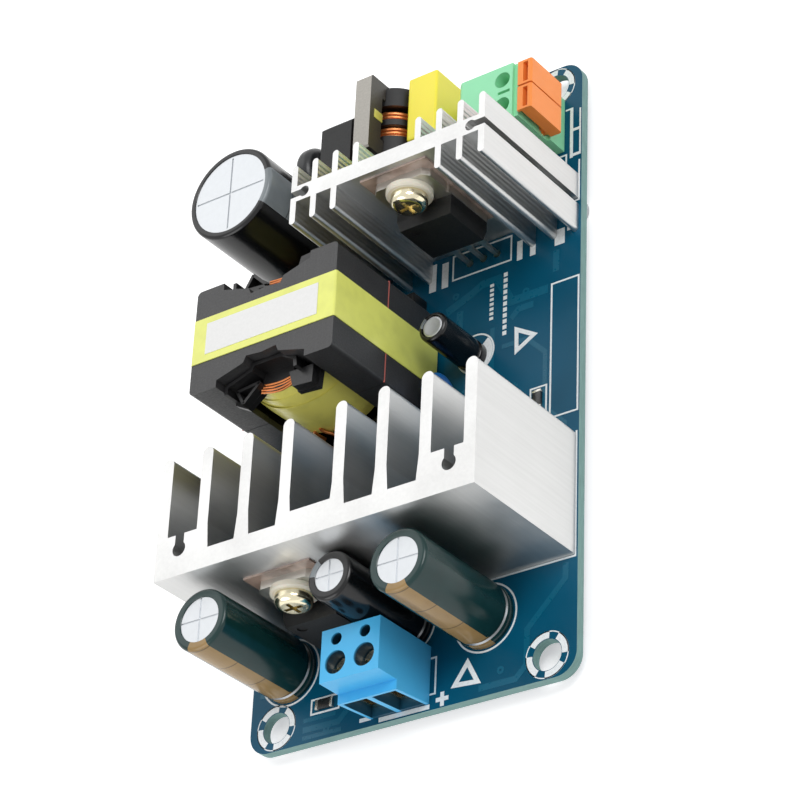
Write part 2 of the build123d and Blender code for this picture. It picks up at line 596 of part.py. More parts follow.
def circuit_board():
    board = extrude(RectangleRounded(BOARD_WIDTH, BOARD_LENGTH, BOARD_CORNER_RADIUS), BOARD_THICKNESS)
    cuts = [rod(sx * HOLE_X, sy * HOLE_Y, -1, TOP + 1, HOLE_RADIUS) for sx in (-1, 1) for sy in (-1, 1)]
    for places, radius in (
        (OUT_SCREW_PLACES, OUT_SINK_CHANNEL_RADIUS),
        (PRIMARY_SCREW_PLACES, PRIMARY_SINK_CHANNEL_RADIUS),
    ):
        cuts += [rod(x, y, -1, TOP + 1, radius + SCREW_PASS_CLEARANCE) for x, y in places]
    cuts += [
        rod(lead[0], lead[1], -1, TOP + 1, lead_reach(lead) + LEAD_HOLE_CLEARANCE) for lead in ALL_LEADS
    ]
    return board - cuts


def solder_joints():
    """A small cone of solder round each lead, under the board and round its hole."""
    joints = []
    for lead in ALL_LEADS:
        narrow = lead_reach(lead) + 0.1
        wide = lead_reach(lead) + SOLDER_RADIUS_GAIN
        cone = turned([(0, 0), (wide, 0), (narrow, -SOLDER_HEIGHT), (0, -SOLDER_HEIGHT)])
        joints.append(Pos(lead[0], lead[1], 0) * cone - lead_solid(lead, top=TOP))
    return group(joints)


def component_leads():
    """Leads of the parts that stand on the board by their own wires."""
    leads = [
        lead_solid(lead)
        for lead in CAPACITOR_LEADS + CHOKE_LEADS + X_CAP_LEADS + BRIDGE_LEADS + THERMISTOR_LEADS
        + Y_CAP_LEADS + OPTO_LEADS
    ]
    half_fuse = FUSE_LENGTH / 2
    for lead, sign in zip(AXIAL_LEADS["fuse"], (-1, 1)):
        along = rod_x(FUSE_Y, FUSE_Z, *sorted((FUSE_X + sign * half_fuse, lead[0])), WIRE_LEAD_RADIUS)
        corner = Pos(lead[0], FUSE_Y, FUSE_Z) * Sphere(WIRE_LEAD_RADIUS)
        leads.append(along + corner + lead_solid(lead))
    half_resistor = CLAMP_RESISTOR_LENGTH / 2
    for lead, sign in zip(AXIAL_LEADS["clamp_resistor"], (-1, 1)):
        ends = sorted((CORE_Y + sign * half_resistor, lead[1]))
        along = rod_y(CLAMP_RESISTOR_X, lead[2], *ends, WIRE_LEAD_RADIUS)
        corner = Pos(CLAMP_RESISTOR_X, lead[1], lead[2]) * Sphere(WIRE_LEAD_RADIUS)
        leads.append(along + corner + lead_solid(lead))
    return group(leads)


# Screws

def pan_screw(head_radius, head_height, shank_radius, length):
    """A cross-slotted pan screw: head above height 0, shank below."""
    dome = min(0.55 * head_height, 0.4 * head_radius)
    head = Pos(0, 0, head_height / 2) * Cylinder(head_radius, head_height)
    head = fillet(head.edges().sort_by(Axis.Z)[-1], dome)
    arm = head_radius * 0.55
    slot = head_radius * 0.12
    depth = head_height * 0.55
    cross = [
        block(-arm, arm, -slot, slot, head_height - depth, head_height + 1),
        block(-slot, slot, -arm, arm, head_height - depth, head_height + 1),
    ]
    return head - cross + rod(0, 0, -length, 0, shank_radius)


def heatsink_screws(places, channel_radius):
    """Screws whose heads lie under the board and whose shanks run up into the heatsink's channels."""
    length = BOARD_THICKNESS + HEATSINK_SCREW_GRIP
    screw = pan_screw(HEATSINK_SCREW_HEAD_RADIUS, HEATSINK_SCREW_HEAD_HEIGHT, channel_radius, length)
    return group([Pos(x, y, 0) * Rot(180, 0, 0) * screw for x, y in places])


def device_screw(x, face_y, lift, reach):
    """Screw through bush, tab and pad into the heatsink, with its head towards -Y."""
    z = TOP + lift + DEVICE_HEIGHT - TAB_HOLE_FROM_TOP
    seat = face_y - PAD_THICKNESS - TAB_THICKNESS - BUSH_THICKNESS
    screw = pan_screw(
        DEVICE_SCREW_HEAD_RADIUS, DEVICE_SCREW_HEAD_HEIGHT, DEVICE_SCREW_RADIUS, face_y + reach - seat
    )
    return Pos(x, seat, z) * Rot(90, 0, 0) * screw


# Heatsinks

def output_heatsink():
    face = OUT_SINK_FACE
    floor = face + OUT_SINK_BASE
    tip = face + OUT_SINK_DEPTH - OUT_SINK_FIN / 2
    taper_end = floor + 2 * OUT_SINK_FIN
    top = TOP + OUT_SINK_HEIGHT
    sink = block(OUT_SINK_X - OUT_HALF_WIDTH, OUT_SINK_X + OUT_HALF_WIDTH, face, floor, TOP, top)
    fins = []
    for side in (-1, 1):
        for i in range(OUT_SINK_FINS_PER_SIDE):
            x = OUT_SINK_X + side * (OUT_SINK_CENTRE_PITCH / 2 + i * OUT_SINK_FIN_PITCH)
            outer_end = i == OUT_SINK_FINS_PER_SIDE - 1
            root = OUT_SINK_FIN_ROOT / 2
            half = OUT_SINK_FIN / 2
            left = half if outer_end and side < 0 else root
            right = half if outer_end and side > 0 else root
            outline = [
                (x - left, floor - 1, TOP), (x + right, floor - 1, TOP), (x + right, floor, TOP),
                (x + half, taper_end, TOP), (x + half, tip, TOP), (x - half, tip, TOP),
                (x - half, taper_end, TOP), (x - left, floor, TOP),
            ]
            fins.append(prism(outline, (0, 0, OUT_SINK_HEIGHT)))
            fins.append(rod(x, tip, TOP, top, half))
    inner = OUT_SINK_CENTRE_PITCH / 2
    centre_y = floor + OUT_SINK_CENTRE_STEP
    centre = block(OUT_SINK_X - inner, OUT_SINK_X + inner, floor - 1, centre_y, TOP, top)
    outer_x = OUT_HALF_WIDTH - OUT_SINK_FIN / 2
    inner_x = outer_x - OUT_SINK_FIN_PITCH
    steps = []
    channels = []
    for (x, y), side in zip(OUT_SCREW_PLACES, (-1, 1)):
        ends = sorted((OUT_SINK_X + side * inner_x, OUT_SINK_X + side * outer_x))
        step_y = floor + OUT_SINK_CHANNEL_STEP
        steps.append(block(ends[0], ends[1], floor - 1, step_y, TOP, top))
        channels.append(rod(x, y, TOP - 1, top + 1, OUT_SINK_CHANNEL_RADIUS))
        neck = OUT_SINK_CHANNEL_NECK / 2
        channels.append(block(x - neck, x + neck, y, step_y + 1, TOP - 1, top + 1))
    z = TOP + RECTIFIER_LIFT + DEVICE_HEIGHT - TAB_HOLE_FROM_TOP
    channels.append(rod_y(RECTIFIER_X, z, face - 1, face + RECTIFIER_SCREW_REACH, DEVICE_SCREW_RADIUS))
    return sink + fins + [centre] + steps - channels


def primary_heatsink():
    front = PRIMARY_SPINE_FRONT
    back = front + PRIMARY_SINK_SPINE
    top = TOP + PRIMARY_SINK_HEIGHT
    left = PRIMARY_X - PRIMARY_HALF_WIDTH
    right = PRIMARY_X + PRIMARY_HALF_WIDTH
    sink = block(left, right, front, back, TOP, top)
    half = PRIMARY_SINK_FIN / 2
    fins = []
    for side in (-1, 1):
        for i in range(PRIMARY_SINK_FINS_PER_SIDE):
            x = PRIMARY_X + side * (PRIMARY_SINK_CENTRE_PITCH / 2 + i * PRIMARY_SINK_FIN_PITCH)
            tip = back + PRIMARY_SINK_BACK_FIN - half
            fins.append(block(x - half, x + half, back - 1, tip, TOP, top))
            fins.append(rod(x, tip, TOP, top, half))
            if i > 0:
                tip = front - PRIMARY_SINK_FRONT_FIN + half
                fins.append(block(x - half, x + half, tip, front + 1, TOP, top))
                fins.append(rod(x, tip, TOP, top, half))
    channels = []
    neck = PRIMARY_SINK_CHANNEL_NECK / 2
    for (x, y), end in zip(PRIMARY_SCREW_PLACES, (left - 1, right + 1)):
        ends = sorted((x, end))
        channels.append(rod(x, y, TOP - 1, top + 1, PRIMARY_SINK_CHANNEL_RADIUS))
        channels.append(block(ends[0], ends[1], y - neck, y + neck, TOP - 1, top + 1))
    z = TOP + MOSFET_LIFT + DEVICE_HEIGHT - TAB_HOLE_FROM_TOP
    channels.append(rod_y(MOSFET_X, z, front - 1, back + 1, DEVICE_SCREW_RADIUS))
    return sink + fins - channels


# Tabbed devices

def insulating_pad(x, face_y, lift):
    top = TOP + lift + DEVICE_HEIGHT + PAD_TOP_MARGIN
    bottom = TOP + lift - PAD_TOP_MARGIN / 2
    hole_z = TOP + lift + DEVICE_HEIGHT - TAB_HOLE_FROM_TOP
    pad = block(x - PAD_WIDTH / 2, x + PAD_WIDTH / 2, face_y - PAD_THICKNESS, face_y, bottom, top)
    return pad - rod_y(x, hole_z, face_y - 1, face_y + 1, DEVICE_SCREW_RADIUS + RUNNING_CLEARANCE)


def device_tab_and_leads(x, face_y, lift, leads):
    back = face_y - PAD_THICKNESS
    bottom = TOP + lift
    top = bottom + DEVICE_HEIGHT
    tab = block(x - TAB_WIDTH / 2, x + TAB_WIDTH / 2, back - TAB_THICKNESS, back, bottom, top)
    upper = tab.edges().filter_by(Axis.Y).group_by(Axis.Z)[-1]
    tab = chamfer(upper, TAB_CHAMFER)
    tab = tab - rod_y(x, top - TAB_HOLE_FROM_TOP, back - TAB_THICKNESS - 1, back + 1, TAB_HOLE_RADIUS)
    notch_z = bottom + DEVICE_BODY_HEIGHT + 1.0
    notch_y = back - TAB_THICKNESS - 1
    notches = [rod_y(x + s * TAB_WIDTH / 2, notch_z, notch_y, back + 1, 0.5) for s in (-1, 1)]
    solids = [tab - notches]
    for lead in leads:
        shoulder = block(
            lead[0] - DEVICE_SHOULDER_WIDTH / 2, lead[0] + DEVICE_SHOULDER_WIDTH / 2,
            lead[1] - DEVICE_LEAD_THICKNESS / 2, lead[1] + DEVICE_LEAD_THICKNESS / 2,
            max(bottom - DEVICE_SHOULDER_HEIGHT, TOP + 0.2), bottom
        )
        solids.append(shoulder + lead_solid(lead))
    return group(solids)


def device_body(x, face_y, lift):
    """Moulded body in front of the tab, with sloped ends and sides."""
    bottom = TOP + lift
    tab_front = face_y - PAD_THICKNESS - TAB_THICKNESS
    front = face_y - PAD_THICKNESS - DEVICE_THICKNESS
    half = TAB_WIDTH / 2 - 0.1
    slope = 0.35
    middle = (tab_front + front) / 2
    centre = Pos(x, bottom + DEVICE_BODY_HEIGHT / 2)
    outer = Rectangle(2 * half, DEVICE_BODY_HEIGHT)
    inner = Rectangle(2 * (half - slope), DEVICE_BODY_HEIGHT - 2 * slope)
    lower = loft([Plane.XZ.offset(-y) * centre * outer for y in (tab_front, middle)])
    upper = loft([Plane.XZ.offset(-middle) * centre * outer, Plane.XZ.offset(-front) * centre * inner])
    dimple = rod_y(x - half * 0.55, bottom + DEVICE_BODY_HEIGHT * 0.8, front - 1, front + 0.2, 0.8)
    return lower + upper - dimple


def device_bush(x, face_y, lift):
    """Shoulder bush that keeps the screw clear of the tab."""
    z = TOP + lift + DEVICE_HEIGHT - TAB_HOLE_FROM_TOP
    tab_front = face_y - PAD_THICKNESS - TAB_THICKNESS
    bush = rod_y(x, z, tab_front - BUSH_THICKNESS, tab_front, BUSH_RADIUS)
    rim = bush.edges().sort_by(Axis.Y)[0]
    bush = chamfer(rim, 0.25 * BUSH_THICKNESS)
    bush = bush + rod_y(x, z, tab_front, tab_front + TAB_THICKNESS, BUSH_SLEEVE_RADIUS)
    return bush - rod_y(x, z, tab_front - 2, tab_front + 3, DEVICE_SCREW_RADIUS + RUNNING_CLEARANCE)


# Transformer

def core_upper():
    """Half of the ferrite core: notched plate, two legs round the winding and a round centre post."""
    split = CORE_BOTTOM + CORE_HEIGHT / 2 + CORE_SPLIT_GAP / 2
    plate_z = CORE_TOP - CORE_PLATE
    body = block(CORE_LEFT, CORE_RIGHT, CORE_FRONT, CORE_BACK, split, CORE_TOP)
    body = fillet(body.edges().filter_by(Axis.Z), CORE_CORNER_RADIUS)
    half = CORE_OPENING / 2
    window = rod(CORE_X, CORE_Y, split - 1, plate_z, CORE_WINDOW_RADIUS)
    opening = block(CORE_X - half, CORE_X + half, CORE_FRONT - 1, CORE_BACK + 1, split - 1, plate_z)
    throat = CORE_NOTCH_THROAT / 2
    notches = []
    for y, inward in ((CORE_FRONT, 1), (CORE_BACK, -1)):
        outline = [
            (-half, -2), (-half, CORE_NOTCH_STEP), (-throat, CORE_NOTCH_SHOULDER),
            (-throat * 0.85, CORE_NOTCH_DEPTH), (0, CORE_NOTCH_DEPTH - 0.3),
            (throat * 0.85, CORE_NOTCH_DEPTH),
            (throat, CORE_NOTCH_SHOULDER), (half, CORE_NOTCH_STEP), (half, -2),
        ]
        corners = [(CORE_X + px, y + inward * py, plate_z - 1) for px, py in outline]
        notches.append(prism(corners, (0, 0, CORE_PLATE + 2)))
    post = rod(CORE_X, CORE_Y, split, plate_z, CORE_POST_RADIUS)
    return body - [window, opening] + post - notches


def core_lower():
    return mirror(core_upper(), Plane.XY.offset(CORE_BOTTOM + CORE_HEIGHT / 2))


def transformer_bobbin():
    """Tube and flanges round the centre post, with two pin rails that reach down to the board."""
    low = CORE_BOTTOM + CORE_PLATE + BOBBIN_END_GAP
    high = CORE_TOP - CORE_PLATE - BOBBIN_END_GAP
    inner = CORE_POST_RADIUS + BOBBIN_CLEARANCE
    bobbin = rod(CORE_X, CORE_Y, low, high, inner + BOBBIN_WALL)
    bobbin = bobbin + rod(CORE_X, CORE_Y, low, low + BOBBIN_FLANGE, BOBBIN_FLANGE_RADIUS)
    bobbin = bobbin + rod(CORE_X, CORE_Y, high - BOBBIN_FLANGE, high, BOBBIN_FLANGE_RADIUS)
    tongue = BOBBIN_TONGUE_WIDTH / 2
    rail = BOBBIN_RAIL_WIDTH / 2
    for rail_y in (BOBBIN_RAIL_FRONT_Y, BOBBIN_RAIL_BACK_Y):
        y0 = rail_y - BOBBIN_RAIL_DEPTH / 2
        y1 = rail_y + BOBBIN_RAIL_DEPTH / 2
        reach = sorted((CORE_Y, y0 if rail_y < CORE_Y else y1))
        bobbin = bobbin + block(CORE_X - tongue, CORE_X + tongue, *reach, low, low + BOBBIN_FLANGE)
        bobbin = bobbin + block(CORE_X - rail, CORE_X + rail, y0, y1, TOP, TOP + BOBBIN_RAIL_HEIGHT)
        bobbin = bobbin + block(CORE_X - tongue, CORE_X + tongue, y0, y1, TOP + BOBBIN_RAIL_HEIGHT, low + 0.1)
    bobbin = bobbin - rod(CORE_X, CORE_Y, low - 1, high + 1, inner)
    return bobbin - [lead_solid(lead) for lead in TRANSFORMER_LEADS]


def transformer_winding():
    low = CORE_BOTTOM + CORE_PLATE + BOBBIN_END_GAP + BOBBIN_FLANGE
    high = CORE_TOP - CORE_PLATE - BOBBIN_END_GAP - BOBBIN_FLANGE
    winding = rod(CORE_X, CORE_Y, low, high, WINDING_RADIUS)
    winding = fillet(winding.edges(), 0.6)
    return winding - rod(CORE_X, CORE_Y, low - 1, high + 1, CORE_POST_RADIUS + BOBBIN_CLEARANCE + BOBBIN_WALL)


def transformer_lead_wires():
    """Ends of the windings, laid down over the winding's face towards the pins."""
    low = CORE_BOTTOM + CORE_PLATE + BOBBIN_END_GAP + BOBBIN_FLANGE
    reach = WINDING_RADIUS + LEAD_WIRE_RADIUS
    height = CORE_TOP - CORE_PLATE - BOBBIN_END_GAP - BOBBIN_FLANGE - low
    middle = (len(LEAD_WIRE_SHARES) - 1) / 2
    wires = []
    for i, share in enumerate(LEAD_WIRE_SHARES):
        for side in (-1, 1):
            angle = math.radians(side * 90 + (i - middle) * LEAD_WIRE_STEP_DEG)
            x = CORE_X + reach * math.cos(angle)
            y = CORE_Y + reach * math.sin(angle)
            wires.append(rod(x, y, low, low + share * height, LEAD_WIRE_RADIUS))
    return group(wires)


def transformer_tape():
    half = TAPE_WIDTH / 2
    t = TAPE_THICKNESS
    outer = block(CORE_LEFT - t, CORE_RIGHT + t, CORE_Y - half, CORE_Y + half, CORE_BOTTOM - t, CORE_TOP + t)
    return outer - block(CORE_LEFT, CORE_RIGHT, CORE_FRONT - 1, CORE_BACK + 1, CORE_BOTTOM, CORE_TOP)


def transformer_label():
    x = CORE_X + LABEL_OFFSET_X
    z = CORE_TOP + TAPE_THICKNESS
    return block(
        x - LABEL_LENGTH / 2, x + LABEL_LENGTH / 2,
        CORE_Y - LABEL_WIDTH / 2, CORE_Y + LABEL_WIDTH / 2, z, z + LABEL_THICKNESS
    )


def transformer_pins():
    return group([lead_solid(lead) for lead in TRANSFORMER_LEADS])


# Capacitors

def capacitor_profile(radius, height):
    """Side outline of a rolled can with its crimped bead, from the bottom up."""
    bead = TOP + BEAD_HEIGHT
    return [
        (radius, TOP), (radius, bead), (radius - BEAD_DEPTH, bead + BEAD_DEPTH),
        (radius, bead + 2 * BEAD_DEPTH), (radius, TOP + height - BEAD_DEPTH),
        (radius - 0.3 * BEAD_DEPTH, TOP + height - 0.3 * BEAD_DEPTH), (radius - BEAD_DEPTH, TOP + height),
    ]


def capacitor_can(x, y, radius, height):
    can_radius = radius - SLEEVE_THICKNESS
    outline = [(0, TOP)] + capacitor_profile(can_radius, height) + [(0, TOP + height)]
    reach = can_radius - SLEEVE_LIP - 0.4
    top = TOP + height
    grooves = [
        block(-reach, reach, -VENT_GROOVE / 2, VENT_GROOVE / 2, top - VENT_DEPTH, top + 1),
        block(-VENT_GROOVE / 2, VENT_GROOVE / 2, -reach, reach, top - VENT_DEPTH, top + 1),
    ]
    return Pos(x, y, 0) * (turned(outline) - grooves)


def capacitor_sleeve(x, y, radius, height):
    """Shrunk plastic sleeve that follows the can and folds over its top edge."""
    can = capacitor_profile(radius - SLEEVE_THICKNESS, height)
    skin = [(r + SLEEVE_THICKNESS, z) for r, z in can[:5]]
    top = TOP + height
    corner = [
        (radius - 0.3 * BEAD_DEPTH, top - 0.3 * BEAD_DEPTH + SLEEVE_THICKNESS / 2),
        (radius - BEAD_DEPTH, top + SLEEVE_THICKNESS),
        (radius - SLEEVE_THICKNESS - SLEEVE_LIP, top + SLEEVE_THICKNESS),
        (radius - SLEEVE_THICKNESS - SLEEVE_LIP, top),
    ]
    return Pos(x, y, 0) * turned(skin + corner + can[::-1])


# Mains side

def choke_core():
    half = CHOKE_FRAME_WIDTH / 2
    y0 = CHOKE_Y - CHOKE_FRAME_LENGTH / 2
    y1 = CHOKE_Y + CHOKE_FRAME_LENGTH / 2
    z0 = CHOKE_Z - CHOKE_BAR / 2
    z1 = TOP + CHOKE_TOP
    frame = block(CHOKE_X - half, CHOKE_X + half, y0, y1, z0, z1)
    frame = chamfer(frame.edges().filter_by(Axis.X), 0.3)
    window = block(
        CHOKE_X - half - 1, CHOKE_X + half + 1,
        y0 + CHOKE_BAR, y1 - CHOKE_BAR, z0 + CHOKE_BAR, z1 - CHOKE_BAR
    )
    return frame - window


def choke_core_room():
    """The space that the core takes in the bobbin, with its clearance all round and open above the legs."""
    half = CHOKE_FRAME_WIDTH / 2 + CHOKE_CORE_CLEARANCE
    bar = CHOKE_BAR / 2 + CHOKE_CORE_CLEARANCE
    y0 = CHOKE_Y - CHOKE_FRAME_LENGTH / 2 - 1
    y1 = CHOKE_Y + CHOKE_FRAME_LENGTH / 2 + 1
    leg = CHOKE_BAR + CHOKE_CORE_CLEARANCE + 1
    low = CHOKE_Z - bar
    tunnel = block(CHOKE_X - half, CHOKE_X + half, y0, y1, low, CHOKE_Z + bar)
    slots = [
        block(CHOKE_X - half, CHOKE_X + half, y0, y0 + leg, low, TOP + CHOKE_TOP + 1),
        block(CHOKE_X - half, CHOKE_X + half, y1 - leg, y1, low, TOP + CHOKE_TOP + 1),
    ]
    return [tunnel] + slots


def choke_bobbin():
    """Round bobbin with end collars, a middle flange and two feet."""
    y0 = CHOKE_Y - CHOKE_FRAME_LENGTH / 2 + 0.6
    y1 = CHOKE_Y + CHOKE_FRAME_LENGTH / 2 - 0.6
    bobbin = rod_y(CHOKE_X, CHOKE_Z, y0, y1, CHOKE_TUBE_RADIUS)
    for start in (y0, y1 - CHOKE_COLLAR_LENGTH):
        end = start + CHOKE_COLLAR_LENGTH
        bobbin = bobbin + rod_y(CHOKE_X, CHOKE_Z, start, end, CHOKE_COLLAR_RADIUS)
        bobbin = bobbin + block(
            CHOKE_X - CHOKE_FOOT_WIDTH / 2, CHOKE_X + CHOKE_FOOT_WIDTH / 2, start, end, TOP, CHOKE_Z - 2.2
        )
    mid = CHOKE_MID_FLANGE / 2
    bobbin = bobbin + rod_y(CHOKE_X, CHOKE_Z, CHOKE_Y - mid, CHOKE_Y + mid, CHOKE_MID_FLANGE_RADIUS)
    return bobbin - choke_core_room()


def choke_windings():
    """Two coils of thick wire, each drawn as rounded turns side by side."""
    section = (CHOKE_FRAME_LENGTH - 1.2) / 2 - CHOKE_COLLAR_LENGTH - CHOKE_MID_FLANGE / 2
    turns = 4
    wire = section / turns / 2
    coils = []
    for side in (-1, 1):
        start = CHOKE_Y + side * (CHOKE_MID_FLANGE / 2 + section / 2) - section / 2
        coil = rod_y(CHOKE_X, CHOKE_Z, start, start + section, CHOKE_COIL_RADIUS - wire)
        for i in range(turns):
            ring = Torus(CHOKE_COIL_RADIUS - wire, wire)
            coil = coil + Pos(CHOKE_X, start + (2 * i + 1) * wire, CHOKE_Z) * Rot(90, 0, 0) * ring
        coils.append(coil - rod_y(CHOKE_X, CHOKE_Z, start - 1, start + section + 1, CHOKE_TUBE_RADIUS))
    return group(coils)


def choke_tape():
    """A turn of tape round the middle of the frame's top bar."""
    half = CHOKE_FRAME_WIDTH / 2
    t = CHOKE_TAPE_THICKNESS
    z1 = TOP + CHOKE_TOP
    z0 = z1 - CHOKE_BAR
    y0 = CHOKE_Y - CHOKE_TAPE_LENGTH / 2
    y1 = CHOKE_Y + CHOKE_TAPE_LENGTH / 2
    outer = block(CHOKE_X - half - t, CHOKE_X + half + t, y0, y1, z0 - t, z1 + t)
    return outer - block(CHOKE_X - half, CHOKE_X + half, y0 - 1, y1 + 1, z0, z1)


def x_capacitor():
    return soft_block(
        X_CAP_LEFT, X_CAP_LEFT + X_CAP_WIDTH, X_CAP_Y - X_CAP_LENGTH / 2, X_CAP_Y + X_CAP_LENGTH / 2,
        TOP + X_CAP_STANDOFF, TOP + X_CAP_STANDOFF + X_CAP_HEIGHT, 0.4
    )


def bridge_rectifier():
    """Moulded in-line bridge with one bevelled upper corner."""
    x0 = BRIDGE_X - BRIDGE_WIDTH / 2
    z0 = TOP + BRIDGE_STANDOFF
    z1 = z0 + BRIDGE_HEIGHT
    y0 = BRIDGE_Y - BRIDGE_LENGTH / 2
    y1 = BRIDGE_Y + BRIDGE_LENGTH / 2
    outline = [
        (x0, y0, z0), (x0, y1, z0), (x0, y1, z1 - BRIDGE_BEVEL), (x0, y1 - BRIDGE_BEVEL, z1), (x0, y0, z1)
    ]
    body = prism(outline, (BRIDGE_WIDTH, 0, 0))
    return fillet(body.edges().filter_by(Axis.X), 0.3)


def thermistor():
    half = THERMISTOR_THICKNESS / 2
    disc = rod_x(THERMISTOR_Y, THERMISTOR_Z, THERMISTOR_X - half, THERMISTOR_X + half, THERMISTOR_RADIUS)
    disc = fillet(disc.edges(), 0.4 * THERMISTOR_THICKNESS)
    return disc - [lead_solid(lead) for lead in THERMISTOR_LEADS]


def fuse():
    """Axial fuse: a tube between two slightly wider end caps."""
    x0 = FUSE_X - FUSE_LENGTH / 2
    x1 = FUSE_X + FUSE_LENGTH / 2
    spans = ((x0, x0 + FUSE_CAP_LENGTH), (x1 - FUSE_CAP_LENGTH, x1))
    caps = [rod_x(FUSE_Y, FUSE_Z, a, b, FUSE_RADIUS) for a, b in spans]
    return rod_x(FUSE_Y, FUSE_Z, x0, x1, FUSE_RADIUS - 0.1) + caps


def clamp_resistor():
    """Axial resistor with swollen ends."""
    z = TOP + FUSE_LIFT + CLAMP_RESISTOR_RADIUS
    y0 = CORE_Y - CLAMP_RESISTOR_LENGTH / 2
    y1 = CORE_Y + CLAMP_RESISTOR_LENGTH / 2
    end = 0.3 * CLAMP_RESISTOR_LENGTH
    body = rod_y(CLAMP_RESISTOR_X, z, y0, y1, CLAMP_RESISTOR_RADIUS * 0.85)
    for a, b in ((y0, y0 + end), (y1 - end, y1)):
        bulb = rod_y(CLAMP_RESISTOR_X, z, a, b, CLAMP_RESISTOR_RADIUS)
        body = body + fillet(bulb.edges(), 0.4 * CLAMP_RESISTOR_RADIUS)
    return body


def y_capacitor():
    half = Y_CAP_THICKNESS / 2
    z = TOP + Y_CAP_LIFT + Y_CAP_RADIUS
    disc = rod_x(Y_CAP_Y, z, Y_CAP_X - half, Y_CAP_X + half, Y_CAP_RADIUS)
    disc = fillet(disc.edges(), 0.4 * Y_CAP_THICKNESS)
    return disc - [lead_solid(lead) for lead in Y_CAP_LEADS]


def optocoupler():
    x0 = OPTO_X - OPTO_LENGTH / 2
    body = block(
        x0, x0 + OPTO_LENGTH, OPTO_Y - OPTO_WIDTH / 2, OPTO_Y + OPTO_WIDTH / 2, TOP + 0.4, TOP + OPTO_HEIGHT
    )
    body = chamfer(body.edges().group_by(Axis.Z)[-1], 0.35)
    return body - rod(x0 + 1.2, OPTO_Y - OPTO_WIDTH / 4, TOP + OPTO_HEIGHT - 0.15, TOP + OPTO_HEIGHT + 1, 0.5)


# Lever terminal

def input_terminal_housing():
    """Body with two round wire entries on top, spring rooms below them and windows for the lever feet."""
    half = LEVER_TERMINAL_WIDTH / 2
    y0 = LEVER_TERMINAL_Y - half
    y1 = LEVER_TERMINAL_Y + half
    top = LEVER_TERMINAL_TOP
    base_top = TOP + LEVER_TERMINAL_BASE
    body = block(LEVER_TERMINAL_LEFT, UPPER_WALL_X, y0, y1, TOP, top)
    body = chamfer(body.edges().filter_by(Axis.Y).group_by(Axis.Z)[-1].sort_by(Axis.X)[0], 0.6)
    body = body + block(UPPER_WALL_X - 1, LEVER_TERMINAL_RIGHT, y0, y1, TOP, base_top)
    ledge_x = UPPER_WALL_X - LEVER_LEDGE_WIDTH
    cuts = [block(ledge_x, UPPER_WALL_X + 1, y0 - 1, y1 + 1, top - LEVER_LEDGE_DROP, top + 1)]
    slit = LEVER_TOP_SLIT / 2
    slit_x = ledge_x - LEVER_TOP_SLIT_LENGTH - 0.5
    cuts.append(
        block(
            slit_x, slit_x + LEVER_TOP_SLIT_LENGTH, LEVER_TERMINAL_Y - slit, LEVER_TERMINAL_Y + slit,
            top - LEVER_TOP_SLIT_DEPTH, top + 1
        )
    )
    room = SPRING_WIDTH / 2 + 0.2
    foot = LEVER_FOOT_WIDTH / 2 + LEVER_FOOT_SIDE_CLEARANCE
    sweep = LEVER_FOOT_RADIUS + LEVER_FOOT_SIDE_CLEARANCE
    pin = LEVER_PIN_LENGTH / 2 + 0.05
    for y in LEVER_YS:
        cuts.append(rod(WIRE_ENTRY_X, y, SPRING_TOP_Z - 0.5, top + 1, WIRE_ENTRY_RADIUS))
        cuts.append(block(SPRING_LEFT_X, SPRING_RIGHT_X, y - room, y + room, SPRING_FLOOR_Z, SPRING_TOP_Z))
        cuts.append(rod_y(PIVOT_X, PIVOT_Z, y - foot, y + foot, sweep))
        cuts.append(block(PIVOT_X, UPPER_WALL_X + 1, y - foot, y + foot, PIVOT_Z - sweep, PIVOT_Z + sweep))
        cuts.append(rod_y(PIVOT_X, PIVOT_Z, y - pin, y + pin, LEVER_PIN_RADIUS + RUNNING_CLEARANCE))
        pocket_x = LEVER_TERMINAL_LEFT + TEST_POCKET_SET_IN
        pocket = TEST_POCKET_WIDTH / 2
        cuts.append(
            block(
                pocket_x, pocket_x + TEST_POCKET_LENGTH, y - pocket, y + pocket,
                top - TEST_POCKET_DEPTH, top + 1
            )
        )
    cuts += [lead_solid(lead, top=SPRING_FLOOR_Z + 1) for lead in INPUT_LEADS]
    return body - cuts


def input_lever(y):
    """Push lever on a cross pin: a foot inside the housing and a grip in front of it with a lip on top."""
    half = LEVER_WIDTH / 2
    top = LEVER_TERMINAL_TOP
    base = TOP + LEVER_TERMINAL_BASE + LEVER_BASE_GAP
    grip = block(LEVER_INNER_X, LEVER_OUTER_X, y - half, y + half, base, top)
    outer = grip.edges().filter_by(Axis.Y).group_by(Axis.X)[-1]
    grip = fillet(outer, LEVER_CORNER)
    lip_x = LEVER_INNER_X - LEVER_LIP_REACH
    grip = grip + block(lip_x, LEVER_INNER_X + 0.5, y - half, y + half, top - LEVER_LIP_THICKNESS, top)
    pocket_x = LEVER_INNER_X + LEVER_POCKET_INSET
    pocket = LEVER_POCKET_LENGTH / 2
    grip = grip - block(
        pocket_x, pocket_x + LEVER_POCKET, y - pocket, y + pocket, top - LEVER_POCKET_DEPTH, top + 1
    )
    foot = LEVER_FOOT_WIDTH / 2
    lever = grip + rod_y(PIVOT_X, PIVOT_Z, y - foot, y + foot, LEVER_FOOT_RADIUS)
    lever = lever + block(
        PIVOT_X, LEVER_INNER_X + 0.5, y - foot, y + foot,
        PIVOT_Z - LEVER_FOOT_RADIUS, PIVOT_Z + LEVER_FOOT_RADIUS
    )
    pin = LEVER_PIN_LENGTH / 2
    return lever + rod_y(PIVOT_X, PIVOT_Z, y - pin, y + pin, LEVER_PIN_RADIUS)


